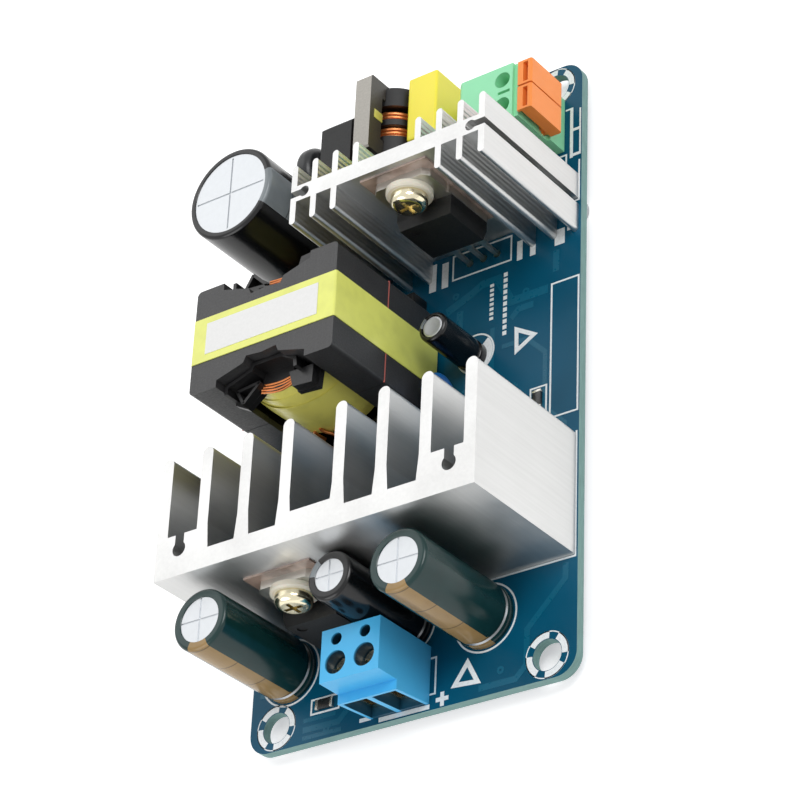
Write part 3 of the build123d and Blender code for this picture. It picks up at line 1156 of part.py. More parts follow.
def input_clamps():
    """Bent steel springs under the wire entries, each resting on its room's floor."""
    t = SPRING_THICKNESS
    left = SPRING_LEFT_X + 0.3 + t
    right = SPRING_RIGHT_X - 0.3
    low = SPRING_FLOOR_Z + t
    high = SPRING_TOP_Z - 0.2 - t
    springs = []
    for y in LEVER_YS:
        line = [(right, low), (left, low), (left, high), (right - 2.2, high), (right - 0.4, low + 1.4)]
        springs.append(strip([(x, z) for x, z in line[::-1]], -t, y, SPRING_WIDTH))
    return group(springs)


def input_pins():
    return group([lead_solid(lead) for lead in INPUT_LEADS])


# Screw terminal

def output_terminal_housing():
    """Two-pole body with a lower front lip, clamp rooms open to the front and sunk screw holes."""
    x0 = OUT_TERMINAL_X - OUT_TERMINAL_HALF
    x1 = OUT_TERMINAL_X + OUT_TERMINAL_HALF
    top = TOP + OUT_TERMINAL_HEIGHT
    shelf = TOP + OUT_TERMINAL_SHELF_HEIGHT
    outline = [
        (x0, OUT_TERMINAL_BACK, TOP), (x0, OUT_TERMINAL_BACK, top), (x0, OUT_TERMINAL_FACE, top),
        (x0, OUT_TERMINAL_FACE, shelf), (x0, OUT_TERMINAL_FRONT, shelf),
        (x0, OUT_TERMINAL_FRONT + OUT_TERMINAL_FOOT_TAPER, TOP),
    ]
    body = prism(outline, (x1 - x0, 0, 0))
    half = CLAMP_CAVITY_WIDTH / 2
    room_top = CAVITY_FLOOR_Z + CLAMP_CAVITY_HEIGHT
    head_z = TOP + CLAMP_SCREW_SHELF
    slot = CONTACT_WIDTH / 2 + 0.1
    bore = CLAMP_SCREW_SHANK_RADIUS + RUNNING_CLEARANCE
    probe_y = OUT_TERMINAL_BACK - PROBE_HOLE_SETBACK
    slot_front = CAVITY_BACK_Y - 0.5
    slot_back = CAVITY_BACK_Y + CONTACT_THICKNESS
    cuts = []
    for x in CLAMP_XS:
        room = (OUT_TERMINAL_FRONT - 1, CAVITY_BACK_Y, CAVITY_FLOOR_Z, room_top)
        cuts.append(block(x - half, x + half, *room))
        cuts.append(rod(x, CLAMP_Y, head_z, top + 1, CLAMP_SCREW_HEAD_RADIUS + RUNNING_CLEARANCE))
        cuts.append(rod(x, CLAMP_Y, room_top - 1, head_z + 1, bore))
        cuts.append(rod(x, probe_y, top - PROBE_HOLE_DEPTH, top + 1, PROBE_HOLE_RADIUS))
        cuts.append(block(x - slot, x + slot, slot_front, slot_back, TOP - 1, CONTACT_TOP_Z))
    return body - cuts


def output_clamp_screw(x):
    """Slotted clamp screw whose head turns on the housing's inner shelf."""
    head_z = TOP + CLAMP_SCREW_SHELF
    top = head_z + CLAMP_SCREW_HEAD_HEIGHT
    head = rod(x, CLAMP_Y, head_z + RUNNING_CLEARANCE / 2, top, CLAMP_SCREW_HEAD_RADIUS)
    head = fillet(head.edges().sort_by(Axis.Z)[-1], 0.2)
    slot = CLAMP_SCREW_SLOT / 2
    head = head - block(x - 3, x + 3, CLAMP_Y - slot, CLAMP_Y + slot, top - CLAMP_SCREW_SLOT_DEPTH, top + 1)
    tip = CONTACT_TOP_Z + RUNNING_CLEARANCE
    return head + rod(x, CLAMP_Y, tip, head_z + CLAMP_SCREW_HEAD_HEIGHT / 3, CLAMP_SCREW_SHANK_RADIUS)


def output_clamp_cage(x):
    """Lifting cage: a square tube whose threaded top plate the screw draws up."""
    half = CAGE_WIDTH / 2
    y0 = CLAMP_Y - CAGE_DEPTH / 2
    y1 = CLAMP_Y + CAGE_DEPTH / 2
    cage = block(x - half, x + half, y0, y1, CAGE_Z, CAGE_Z + CAGE_HEIGHT)
    cage = fillet(cage.edges().filter_by(Axis.Y), 0.3)
    inner = half - CAGE_SIDE
    top = CAGE_Z + CAGE_HEIGHT
    window = block(x - inner, x + inner, y0 - 1, y1 + 1, CAGE_Z + CAGE_PLATE, top - CAGE_PLATE)
    thread = rod(x, CLAMP_Y, CAGE_Z + CAGE_PLATE, top + 1, CLAMP_SCREW_SHANK_RADIUS + RUNNING_CLEARANCE)
    return cage - [window, thread]


def output_contacts():
    """Fixed contact bars that reach through the cages and bend down into the board."""
    bars = []
    for x, lead in zip(CLAMP_XS, OUT_TERMINAL_LEADS):
        half = CONTACT_WIDTH / 2
        z0 = CONTACT_TOP_Z - CONTACT_THICKNESS
        front = CLAMP_Y - CAGE_DEPTH / 2 + 0.3
        back = CAVITY_BACK_Y + CONTACT_THICKNESS
        bar = block(x - half, x + half, front, back, z0, CONTACT_TOP_Z)
        upright = block(x - half, x + half, CAVITY_BACK_Y, back, TOP, z0)
        bars.append(bar + upright + lead_solid(lead, top=z0))
    return group(bars)


# Small surface parts

def chip(x, y, length, width, side):
    """A chip part lying on the board's upper (side 1) or lower (side -1) face: ends and middle."""
    seat = TOP if side > 0 else 0
    z = sorted((seat, seat + side * CHIP_HEIGHT))
    return block(x - length / 2, x + length / 2, y - width / 2, y + width / 2, z[0], z[1])


def chip_resistors():
    top_y = FRONT + TOP_RESISTOR_Y_FROM_FRONT
    side_y = OUT_SINK_FACE + OUT_SINK_DEPTH + SIDE_CHIP_GAP_TO_SINK
    chips = [
        chip(TOP_RESISTOR_X, top_y, CHIP_RESISTOR_LENGTH, CHIP_RESISTOR_WIDTH, 1),
        chip(SIDE_CHIP_X, side_y, CHIP_RESISTOR_WIDTH, CHIP_RESISTOR_LENGTH, 1),
    ]
    for i in range(CHIP_ROW_RESISTORS):
        x = CONTROLLER_X + (i - (CHIP_ROW_RESISTORS - 1) / 2) * CHIP_ROW_PITCH
        chips.append(chip(x, CONTROLLER_Y + CHIP_ROW_OFFSET, CHIP_RESISTOR_WIDTH, CHIP_RESISTOR_LENGTH, -1))
    return group(chips)


def chip_capacitors():
    chips = []
    for i in range(CHIP_ROW_CAPACITORS):
        x = CONTROLLER_X + (i - (CHIP_ROW_CAPACITORS - 1) / 2) * CHIP_ROW_PITCH
        chips.append(chip(x, CONTROLLER_Y - CHIP_ROW_OFFSET, CHIP_CAP_WIDTH, CHIP_CAP_LENGTH, -1))
    return group(chips)


def indicator_led():
    y = FRONT + LED_Y_FROM_FRONT
    base_top = TOP + LED_BASE_HEIGHT
    half = LED_LENGTH / 2
    width = LED_WIDTH / 2
    lens_half = LED_LENS_LENGTH / 2
    base = block(LED_X - half, LED_X + half, y - width, y + width, TOP, base_top)
    lens_top = base_top + LED_LENS_HEIGHT
    lens = block(LED_X - lens_half, LED_X + lens_half, y - width, y + width, base_top, lens_top)
    lens = chamfer(lens.edges().group_by(Axis.Z)[-1], 0.3 * LED_LENS_HEIGHT)
    return base + lens


def controller_chip():
    """Eight-legged chip under the board."""
    x0 = CONTROLLER_X - CONTROLLER_LENGTH / 2
    y0 = CONTROLLER_Y - CONTROLLER_WIDTH / 2
    under = -CONTROLLER_STANDOFF
    body = block(
        x0, x0 + CONTROLLER_LENGTH, y0, y0 + CONTROLLER_WIDTH, under - CONTROLLER_HEIGHT, under
    )
    body = chamfer(body.edges().group_by(Axis.Z)[0], 0.25)
    legs = []
    half = CONTROLLER_LEG_WIDTH / 2
    drop = CONTROLLER_LEG_DROP
    thick = CONTROLLER_LEG_THICKNESS
    for i in range(4):
        x = CONTROLLER_X + (i - 1.5) * CONTROLLER_PITCH
        for side in (-1, 1):
            y = CONTROLLER_Y + side * CONTROLLER_WIDTH / 2
            out = y + side * CONTROLLER_LEG_REACH
            shoulder = sorted((y - side * thick, out))
            shank = sorted((out - side * thick, out))
            foot = sorted((out - side * thick, y + side * CONTROLLER_FOOT_REACH))
            legs.append(
                block(x - half, x + half, *shoulder, -drop, thick - drop)
                + block(x - half, x + half, *shank, -drop, 0)
                + block(x - half, x + half, *foot, -thick, 0)
            )
    return body + legs


def write_all():
    os.makedirs("parts", exist_ok=True)
    mosfet = (MOSFET_X, PRIMARY_SPINE_FRONT, MOSFET_LIFT)
    rectifier = (RECTIFIER_X, OUT_SINK_FACE, RECTIFIER_LIFT)
    parts = {
        "circuit_board": circuit_board(),
        "solder_joints": solder_joints(),
        "component_leads": component_leads(),
        "output_heatsink": output_heatsink(),
        "output_heatsink_screws": heatsink_screws(OUT_SCREW_PLACES, OUT_SINK_CHANNEL_RADIUS),
        "primary_heatsink": primary_heatsink(),
        "primary_heatsink_screws": heatsink_screws(PRIMARY_SCREW_PLACES, PRIMARY_SINK_CHANNEL_RADIUS),
        "mosfet_insulating_pad": insulating_pad(*mosfet),
        "mosfet_tab_and_leads": device_tab_and_leads(*mosfet, MOSFET_LEADS),
        "mosfet_body": device_body(*mosfet),
        "mosfet_bush": device_bush(*mosfet),
        "mosfet_screw": device_screw(*mosfet, PRIMARY_SINK_SPINE + MOSFET_SCREW_REACH),
        "rectifier_insulating_pad": insulating_pad(*rectifier),
        "rectifier_tab_and_leads": device_tab_and_leads(*rectifier, RECTIFIER_LEADS),
        "rectifier_body": device_body(*rectifier),
        "rectifier_bush": device_bush(*rectifier),
        "rectifier_screw": device_screw(*rectifier, RECTIFIER_SCREW_REACH),
        "transformer_core_upper": core_upper(),
        "transformer_core_lower": core_lower(),
        "transformer_bobbin": transformer_bobbin(),
        "transformer_winding": transformer_winding(),
        "transformer_lead_wires": transformer_lead_wires(),
        "transformer_tape": transformer_tape(),
        "transformer_label": transformer_label(),
        "transformer_pins": transformer_pins(),
        "choke_core": choke_core(),
        "choke_bobbin": choke_bobbin(),
        "choke_windings": choke_windings(),
        "choke_tape": choke_tape(),
        "x_capacitor": x_capacitor(),
        "bridge_rectifier": bridge_rectifier(),
        "thermistor": thermistor(),
        "fuse": fuse(),
        "clamp_resistor": clamp_resistor(),
        "y_capacitor": y_capacitor(),
        "optocoupler": optocoupler(),
        "input_terminal_housing": input_terminal_housing(),
        "input_lever_front": input_lever(LEVER_YS[0]),
        "input_lever_back": input_lever(LEVER_YS[1]),
        "input_clamp_springs": input_clamps(),
        "input_pins": input_pins(),
        "output_terminal_housing": output_terminal_housing(),
        "output_clamp_screw_left": output_clamp_screw(CLAMP_XS[0]),
        "output_clamp_screw_right": output_clamp_screw(CLAMP_XS[1]),
        "output_clamp_cage_left": output_clamp_cage(CLAMP_XS[0]),
        "output_clamp_cage_right": output_clamp_cage(CLAMP_XS[1]),
        "output_contacts": output_contacts(),
        "chip_resistors": chip_resistors(),
        "chip_capacitors": chip_capacitors(),
        "indicator_led": indicator_led(),
        "controller_chip": controller_chip(),
    }
    capacitors = {
        "bulk_capacitor": (BULK_X, BULK_Y, BULK_RADIUS, BULK_HEIGHT),
        "output_capacitor_left": (OUT_CAP_LEFT_X, OUT_CAP_Y, OUT_CAP_RADIUS, OUT_CAP_HEIGHT),
        "output_capacitor_right": (OUT_CAP_RIGHT_X, OUT_CAP_Y, OUT_CAP_RADIUS, OUT_CAP_HEIGHT),
        "output_capacitor_small": (SMALL_CAP_X, SMALL_CAP_Y, SMALL_CAP_RADIUS, SMALL_CAP_HEIGHT),
    }
    for name, place in capacitors.items():
        parts[name + "_can"] = capacitor_can(*place)
        parts[name + "_sleeve"] = capacitor_sleeve(*place)
    supply = (SUPPLY_CAP_X, SUPPLY_CAP_Y, SUPPLY_CAP_RADIUS, SUPPLY_CAP_HEIGHT)
    parts["supply_capacitor"] = group([capacitor_can(*supply), capacitor_sleeve(*supply)])
    for name, part in parts.items():
        export_step(part, f"parts/{name}.step")
    for sign, name in ((0, "front"), (1, "back")):
        print("lever", name, "pivot", round(PIVOT_X, 3), round(LEVER_YS[sign], 3), round(PIVOT_Z, 3))
    print("clamps at", [round(x, 3) for x in CLAMP_XS], round(CLAMP_Y, 3))
    print("holes", round(2 * HOLE_X, 3), round(2 * HOLE_Y, 3), "board length", round(BOARD_LENGTH, 3))
    print("wire entries", round(WIRE_ENTRY_X, 3), LEVER_YS, round(LEVER_TERMINAL_TOP, 3))
    print(len(parts), "parts")


write_all()
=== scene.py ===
"""Looks of an open frame power supply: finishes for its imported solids, and the finer pieces round them."""
import json
import math

import bmesh
import bpy
import numpy as np
from mathutils import Matrix, Vector

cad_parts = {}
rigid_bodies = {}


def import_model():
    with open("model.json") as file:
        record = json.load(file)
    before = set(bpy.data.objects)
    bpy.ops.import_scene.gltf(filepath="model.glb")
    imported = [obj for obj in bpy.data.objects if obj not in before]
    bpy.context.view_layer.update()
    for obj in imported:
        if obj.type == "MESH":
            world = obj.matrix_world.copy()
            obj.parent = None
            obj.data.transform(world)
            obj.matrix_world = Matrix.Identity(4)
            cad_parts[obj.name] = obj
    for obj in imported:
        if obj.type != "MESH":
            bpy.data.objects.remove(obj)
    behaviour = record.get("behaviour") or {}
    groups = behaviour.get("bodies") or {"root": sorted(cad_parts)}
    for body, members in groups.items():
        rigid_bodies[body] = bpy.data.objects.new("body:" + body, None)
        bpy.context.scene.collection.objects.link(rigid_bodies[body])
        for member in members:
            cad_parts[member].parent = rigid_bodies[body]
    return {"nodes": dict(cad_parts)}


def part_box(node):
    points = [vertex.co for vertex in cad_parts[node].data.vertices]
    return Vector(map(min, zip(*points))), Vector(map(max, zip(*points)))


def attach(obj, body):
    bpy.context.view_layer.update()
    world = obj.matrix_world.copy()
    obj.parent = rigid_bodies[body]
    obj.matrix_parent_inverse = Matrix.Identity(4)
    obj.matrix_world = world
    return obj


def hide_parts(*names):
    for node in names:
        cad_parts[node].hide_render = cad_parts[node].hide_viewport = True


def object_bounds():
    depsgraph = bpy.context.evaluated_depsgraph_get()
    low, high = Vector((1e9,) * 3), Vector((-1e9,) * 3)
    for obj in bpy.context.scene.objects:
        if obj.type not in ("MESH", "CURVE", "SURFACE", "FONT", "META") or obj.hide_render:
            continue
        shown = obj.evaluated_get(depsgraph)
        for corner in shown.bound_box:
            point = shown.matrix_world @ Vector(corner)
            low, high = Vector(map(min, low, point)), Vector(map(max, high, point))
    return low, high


bl_info = {
    "name": "Open frame power supply",
    "version": (1, 0, 0),
    "blender": (4, 5, 0),
    "location": "3D View > Sidebar > Power supply",
    "description": "Dresses the packed solids of a mains power supply and sets it on a pale studio floor",
    "category": "Object",
}

for startup in list(bpy.data.objects):
    bpy.data.objects.remove(startup)
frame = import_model()
NODES = frame["nodes"]
CAD_BOX = [list(corner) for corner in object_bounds()]
MM = 0.001
ROOT_BODY = "supply"

BOARD_TOP = 1.6
MERGE_DISTANCE = 0.0005 * MM
SMOOTH_ANGLE = math.radians(32)
# Length of one wave of a band texture at a scale of one
WAVE = 2 * math.pi / 20


def linear(code):
    """An sRGB hex colour as linear red, green, blue and alpha."""
    parts = [int(code[i:i + 2], 16) / 255 for i in (1, 3, 5)]
    return [p / 12.92 if p <= 0.04045 else ((p + 0.055) / 1.055) ** 2.4 for p in parts] + [1.0]


def tone(colour, factor=1.0):
    """A colour made lighter or darker by a factor, with full alpha."""
    return [min(1.0, c * factor) for c in list(colour)[:3]] + [1.0]


def length(name, note, millimetres):
    return bpy.props.FloatProperty(
        name=name, description=note, default=millimetres * MM, min=0, unit="LENGTH", precision=5
    )


def tint(name, note, code):
    return bpy.props.FloatVectorProperty(
        name=name, description=note, default=linear(code)[:3], min=0, max=1, size=3, subtype="COLOR"
    )


def share(name, note, value, highest=1.0):
    return bpy.props.FloatProperty(
        name=name, description=note, default=value, min=0, max=highest, subtype="FACTOR"
    )


class BoardLook(bpy.types.PropertyGroup):
    mask: tint("Solder mask", "Colour of the lacquer over bare laminate", "#034E6A")
    mask_copper: tint("Mask over copper", "Colour of the lacquer where copper lies below it", "#085B76")
    edge: tint("Board edge", "Colour of the cut laminate at the rim", "#86AAA6")
    ink: tint("Print", "Colour of the printed marks", "#E8EDEF")
    print_height: length("Print height", "Height of the ink's face over the bare lacquer", 0.05)
    copper_height: length("Copper height", "Rise of the lacquer over a copper track", 0.035)
    print_line: length("Print line", "Width of a printed line", 0.28)


class MetalLook(bpy.types.PropertyGroup):
    aluminium: tint("Aluminium", "Colour of the extruded heatsinks", "#D4D4D3")
    steel: tint("Plated steel", "Colour of the screws through the devices", "#E6DDBF")
    zinc: tint("Clear zinc", "Colour of the screws below the board", "#A9ADB0")
    solder: tint("Solder", "Colour of solder and tinned wire", "#CFCDC6")
    brass: tint("Clamp metal", "Colour of the clamp screws and cages", "#F3E8CC")
    rib: length("Fin rib", "Spacing of the small ribs along the fins of the smaller heatsink", 0.9)


class TransformerLook(bpy.types.PropertyGroup):
    core: tint("Core", "Colour of the ferrite", "#29292A")
    film: tint("Gap film", "Colour of the film between the core's halves", "#C0665C")
    tape: tint("Tape", "Colour of the tape round the core", "#E4E874")
    winding: tint("Winding", "Colour of the tape over the winding", "#F4EC78")
    copper: tint("Enamelled wire", "Colour of the copper wires", "#E08A4E")
    bobbin: tint("Bobbin", "Colour of the moulded bobbin", "#111112")
    label: tint("Label", "Colour of the blank paper label", "#EFEFEE")
    wire_radius: length("Wire", "Radius of the wire ends on the winding", 0.28)


class CapacitorLook(bpy.types.PropertyGroup):
    black_sleeve: tint("Black sleeve", "Colour of the black sleeves", "#0C0D0F")
    green_sleeve: tint("Green sleeve", "Colour of the green sleeves", "#0E302F")
    silver_stripe: tint("Silver stripe", "Colour of the stripe on the black sleeves", "#7E8589")
    gold_stripe: tint("Gold stripe", "Colour of the stripe on the green sleeves", "#9A7D4E")
    can: tint("Can", "Colour of the drawn cans", "#C3C6C9")
    # Painted shade in the stamped vent grooves of the cans
    groove: tint("Vent groove", "Colour in the stamped grooves of the cans", "#7C7F82")


class MainsLook(bpy.types.PropertyGroup):
    box: tint("Box capacitor", "Colour of the moulded box capacitor", "#FBEC46")
    choke_core: tint("Choke frame", "Colour of the choke's ferrite", "#3B3733")
    # Pale colour of the choke's upward faces: painted light, not a ground face
    choke_lit_top: tint("Choke frame top", "Colour of the choke's ground upper face", "#AFABA3")
    disc_dark: tint("Thermistor", "Colour of the dipped thermistor", "#1B1E20")
    disc_blue: tint("Disc capacitor", "Colour of the dipped disc capacitor", "#1F63A8")
    wire_radius: length("Coil wire", "Radius of the wire of the choke's coils", 0.33)


class TerminalLook(bpy.types.PropertyGroup):
    green: tint("Lever housing", "Colour of the lever terminal's housing", "#98E8B6")
    orange: tint("Levers", "Colour of the levers", "#FF9446")
    blue: tint("Screw terminal", "Colour of the screw terminal's housing", "#4EB8EE")


class StageLook(bpy.types.PropertyGroup):
    floor: tint("Floor", "Colour of the floor", "#F3F3F3")
    reach: length("Floor reach", "Half width of the floor", 2000.0)
    world: share("World light", "Strength of the even light from all sides", 0.46, 5.0)
    glow: share("Floor glow", "Light that the camera sees from the floor beside its own colour", 0.5, 5.0)


# Meshes from numpy grids, in millimetres

def skin(grid, loop_u=False, loop_v=False):
    """Corners and four-sided faces of a surface on a grid of rows and columns, closed where it loops."""
    rows, columns = grid.shape[:2]
    index = np.arange(rows * columns).reshape(rows, columns)
    if loop_u:
        index = np.vstack([index, index[:1]])
    if loop_v:
        index = np.hstack([index, index[:, :1]])
    quads = np.stack([index[:-1, :-1], index[:-1, 1:], index[1:, 1:], index[1:, :-1]], axis=-1)
    return grid.reshape(-1, 3), quads.reshape(-1, 4)


def piece(name, skins, finish, replaces=(), body=ROOT_BODY):
    """Joins skins into one object at the origin: doubles merged, faces outwards, sharp past SMOOTH_ANGLE."""
    starts = np.cumsum([0] + [len(points) for points, quads in skins])
    corners = np.vstack([points for points, quads in skins])
    faces = np.vstack([quads + start for (points, quads), start in zip(skins, starts)])
    mesh = bpy.data.meshes.new(name)
    mesh.from_pydata((corners * MM).tolist(), [], faces.tolist())
    work = bmesh.new()
    work.from_mesh(mesh)
    bmesh.ops.remove_doubles(work, verts=work.verts, dist=MERGE_DISTANCE)
    bmesh.ops.recalc_face_normals(work, faces=work.faces)
    work.to_mesh(mesh)
    work.free()
    mesh.polygons.foreach_set("use_smooth", np.ones(len(mesh.polygons), bool))
    mesh.set_sharp_from_angle(angle=SMOOTH_ANGLE)
    mesh.materials.append(finish)
    made = bpy.data.objects.new(name, mesh)
    bpy.context.scene.collection.objects.link(made)
    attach(made, body)
    if replaces:
        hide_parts(*replaces)
    return made


def turned(profile, x, y, steps=72):
    """A profile of (radius, height) carried round a vertical line: x + r cos a, y + r sin a, z."""
    r, z = np.array(profile, float).T
    a = np.linspace(0, 2 * np.pi, steps, endpoint=False)
    grid = np.stack([
        x + np.outer(r, np.cos(a)), y + np.outer(r, np.sin(a)), np.outer(z, np.ones_like(a)),
    ], axis=-1)
    return skin(grid, loop_v=True)


def rounded_box(low, high, radius, steps=3):
    """A box with round edges: points of a sphere, each pushed out to the centre of its own corner."""
    low, high = np.array(low, float), np.array(high, float)
    centre, half = (low + high) / 2, (high - low) / 2 - radius
    turn = np.linspace(0, np.pi / 2, steps + 1)
    angle = np.concatenate([turn + k * np.pi / 2 for k in range(4)])
    sign_x = np.repeat([1, -1, -1, 1], steps + 1)
    sign_y = np.repeat([1, 1, -1, -1], steps + 1)
    rise = np.concatenate([np.pi / 2 - turn, -turn])
    sign_z = np.repeat([1, -1], steps + 1)
    px = radius * np.outer(np.cos(rise), np.cos(angle)) + half[0] * sign_x
    py = radius * np.outer(np.cos(rise), np.sin(angle)) + half[1] * sign_y
    pz = np.outer(radius * np.sin(rise) + half[2] * sign_z, np.ones_like(angle))
    grid = np.stack([px, py, pz], axis=-1) + centre
    pole = np.zeros((1, len(angle), 3)) + centre
    reach = np.array([0, 0, half[2] + radius])
    return skin(np.vstack([pole + reach, grid, pole - reach]), loop_v=True)


def tube(path, radius, reference=(0.3, 0.2, 0.93), sides=10):
    """A round wire: a circle square to the path, turned by one reference line, with closed ends."""
    path = np.array(path, float)
    ahead = np.gradient(path, axis=0)
    ahead /= np.linalg.norm(ahead, axis=1)[:, None]
    across = np.cross(ahead, np.array(reference, float))
    across /= np.linalg.norm(across, axis=1)[:, None]
    other = np.cross(ahead, across)
    a = np.linspace(0, 2 * np.pi, sides, endpoint=False)[None, :, None]
    grid = path[:, None] + radius * (across[:, None] * np.cos(a) + other[:, None] * np.sin(a))
    ends = [np.repeat(path[i][None, None], sides, axis=1) for i in (0, -1)]
    return skin(np.vstack([ends[0], grid, ends[1]]), loop_v=True)


def stacked(*rows):
    """A grid of flat outlines, each at its own height."""
    return np.array([np.column_stack([points, np.full(len(points), z)]) for points, z in rows])


def slab(outline, low, high):
    """A flat plate: the outline at two heights, closed above and below by a fan to its middle."""
    outline = np.array(outline, float)
    middle = np.repeat(outline.mean(axis=0)[None], len(outline), axis=0)
    return skin(stacked((middle, low), (outline, low), (outline, high), (middle, high)), loop_v=True)


def bar(x0, x1, y0, y1, low, high):
    return slab([(x0, y0), (x1, y0), (x1, y1), (x0, y1)], low, high)


def stroke(points, width, low, high):
    """A flat line of one width through points: each point's left and right, mitred, with square ends."""
    points = np.array(points, float)
    ahead = np.diff(points, axis=0)
    ahead /= np.linalg.norm(ahead, axis=1)[:, None]
    before = np.vstack([ahead[:1], ahead])
    after = np.vstack([ahead, ahead[-1:]])
    left = np.column_stack([-(before + after)[:, 1], (before + after)[:, 0]])
    left /= np.linalg.norm(left, axis=1)[:, None]
    stretch = np.sum(left * np.column_stack([-after[:, 1], after[:, 0]]), axis=1)
    offset = left * (width / 2 / stretch)[:, None]
    one, other = points + offset, points - offset
    grid = stacked((one, low), (one, high), (other, high), (other, low))
    shut = [np.repeat(grid[:, i].mean(axis=0)[None], 4, axis=0)[:, None] for i in (0, -1)]
    return skin(np.hstack([shut[0], grid, shut[1]]), loop_u=True)


def arc(x, y, radius, start, end, steps=24):
    """Points round a circle from one angle to another, in degrees."""
    a = np.radians(np.linspace(start, end, steps))
    return np.column_stack([x + radius * np.cos(a), y + radius * np.sin(a)])


def ring(x, y, radius, width, low, high, steps=72):
    """A flat ring: a rectangle of its width and height carried round a vertical line."""
    inner, outer = radius - width / 2, radius + width / 2
    return turned([(inner, low), (outer, low), (outer, high), (inner, high), (inner, low)], x, y, steps)


def rim(outer, inner, low, high):
    """A flat closed frame between two outlines with the same number of corners."""
    return skin(stacked((outer, low), (outer, high), (inner, high), (inner, low)), loop_u=True, loop_v=True)


def edges(corners):
    """Each side of a closed outline, as its two ends."""
    return list(zip(corners, corners[1:] + corners[:1]))


# Finishes

def put(tree, kind, inputs=None, out=0, **settings):
    """Adds one node with settings and inputs, each a value or another node's output; gives one output."""
    node = tree.nodes.new("ShaderNode" + kind)
    for name, value in settings.items():
        setattr(node, name, value)
    for name, value in (inputs or {}).items():
        if isinstance(value, bpy.types.NodeSocket):
            tree.links.new(value, node.inputs[name])
        else:
            node.inputs[name].default_value = value
    return node.outputs[out] if node.outputs else None


def blank(name):
    """A new material, its empty tree, and the place on the object that its patterns read."""
    made = bpy.data.materials.new(name)
    made.use_nodes = True
    made.node_tree.nodes.clear()
    return made, made.node_tree, put(made.node_tree, "TexCoord", out="Object")


def mottled(tree, where, grain, first, second, detail=3.0, levels=None):
    """Noise with a grain in millimetres and the colour it mixes; levels are start, end and full share."""
    noise = put(tree, "TexNoise", {"Vector": where, "Scale": 1 / (grain * MM), "Detail": detail}, "Fac")
    amount = noise
    if levels:
        start, end, full = levels
        amount = put(tree, "MapRange", {"Value": noise, "From Min": start, "From Max": end, "To Max": full})
    return noise, put(tree, "Mix", {0: amount, 6: first, 7: second}, 2, data_type="RGBA")


def facing(tree, axis, least, both=True):
    """One where a face looks along an axis, on both sides or only on the positive one."""
    along = put(tree, "SeparateXYZ", {0: put(tree, "NewGeometry", out="Normal")}, axis)
    if both:
        along = put(tree, "Math", {0: along}, operation="ABSOLUTE")
    return put(tree, "Math", {0: along, 1: least}, operation="GREATER_THAN")


def within(tree, where, axis, middle, half):
    """One where a coordinate lies within half a width of its middle, both in millimetres."""
    place = put(tree, "SeparateXYZ", {0: where}, axis)
    return put(tree, "Math", {0: place, 1: middle * MM, 2: half * MM}, operation="COMPARE")


def surface(made, height, distance, inputs):
    """Closes a material: one shader with these inputs, over a relief of so many millimetres."""
    tree = made.node_tree
    if height is not None:
        inputs["Normal"] = put(tree, "Bump", {"Height": height, "Distance": distance * MM})
    put(tree, "OutputMaterial", {"Surface": put(tree, "BsdfPrincipled", inputs)})
    return made


def moulded(
    name, colour, roughness=0.4, grain=0.3, depth=0.01, cloud=6.0, spread=0.1, gloss=0.5, glow=0.0, coat=0.0
):
    """A moulded or dipped plastic: soft mottling in its colour, fine grain in its gloss and its skin."""
    made, tree, where = blank(name)
    shade = mottled(tree, where, cloud, tone(colour, 1 - spread), tone(colour, 1 + spread * 0.6))[1]
    fine = put(tree, "TexNoise", {"Vector": where, "Scale": 1 / (grain * MM), "Detail": 4.0}, "Fac")
    rough = put(tree, "MapRange", {
        "Value": fine, "From Min": 0.3, "From Max": 0.7, "To Min": roughness * 0.85,
        "To Max": min(1.0, roughness * 1.18),
    })
    return surface(made, fine, depth, {
        "Base Color": shade, "Roughness": rough, "Specular IOR Level": gloss, "Subsurface Weight": glow,
        "Subsurface Scale": 1.2 * MM, "Coat Weight": coat, "Coat Roughness": 0.1,
    })


def metal(name, colour, roughness=0.3, stretch=(1, 1, 1), grain=0.3, depth=0.004, spread=0.1):
    """A bare metal: polished or drawn streaks in gloss and relief, longer where the stretch is small."""
    made, tree, where = blank(name)
    where = put(tree, "Mapping", {"Vector": where, "Scale": stretch})
    streak, shade = mottled(tree, where, grain, tone(colour, 1 - spread), tone(colour), 5.0)
    rough = put(tree, "MapRange", {
        "Value": streak, "From Min": 0.3, "From Max": 0.7, "To Min": roughness * 0.8,
        "To Max": min(1.0, roughness * 1.25),
    })
    return surface(made, streak, depth, {"Base Color": shade, "Roughness": rough, "Metallic": 1.0})


def dress(finish, *names):
    """Gives CAD nodes their finish."""
    for name in names:
        for slot in NODES[name].material_slots:
            slot.material = finish


# Board

def board_finish(look):
    """Half gloss solder mask on glass laminate: deep blue, with a pale cut rim of glass and resin."""
    made, tree, where = blank("solder_mask_on_laminate")
    face = mottled(tree, where, 14, tone(look.mask, 0.72), tone(look.mask, 1.25), 2.0)[1]
    # Glass threads, about 0.5 mm apart, that print through the lacquer
    threads = [
        put(tree, "TexWave", {"Vector": where, "Scale": WAVE / (0.5 * MM)}, "Fac", bands_direction=axis)
        for axis in "XY"
    ]
    weave = put(tree, "Math", dict(enumerate(threads)), operation="MULTIPLY")
    flat = facing(tree, "Z", 0.5)
    layers = put(tree, "Mapping", {"Vector": where, "Scale": (0.4, 0.4, 4.0)})
    edge = mottled(tree, layers, 0.8, tone(look.edge, 0.6), tone(look.edge, 1.1), 4.0)[1]
    shade = put(tree, "Mix", {0: flat, 6: edge, 7: face}, 2, data_type="RGBA")
    rough = put(tree, "MapRange", {"Value": flat, "To Min": 0.6, "To Max": 0.32})
    return surface(made, weave, 0.002, {"Base Color": shade, "Roughness": rough, "Specular IOR Level": 0.18})


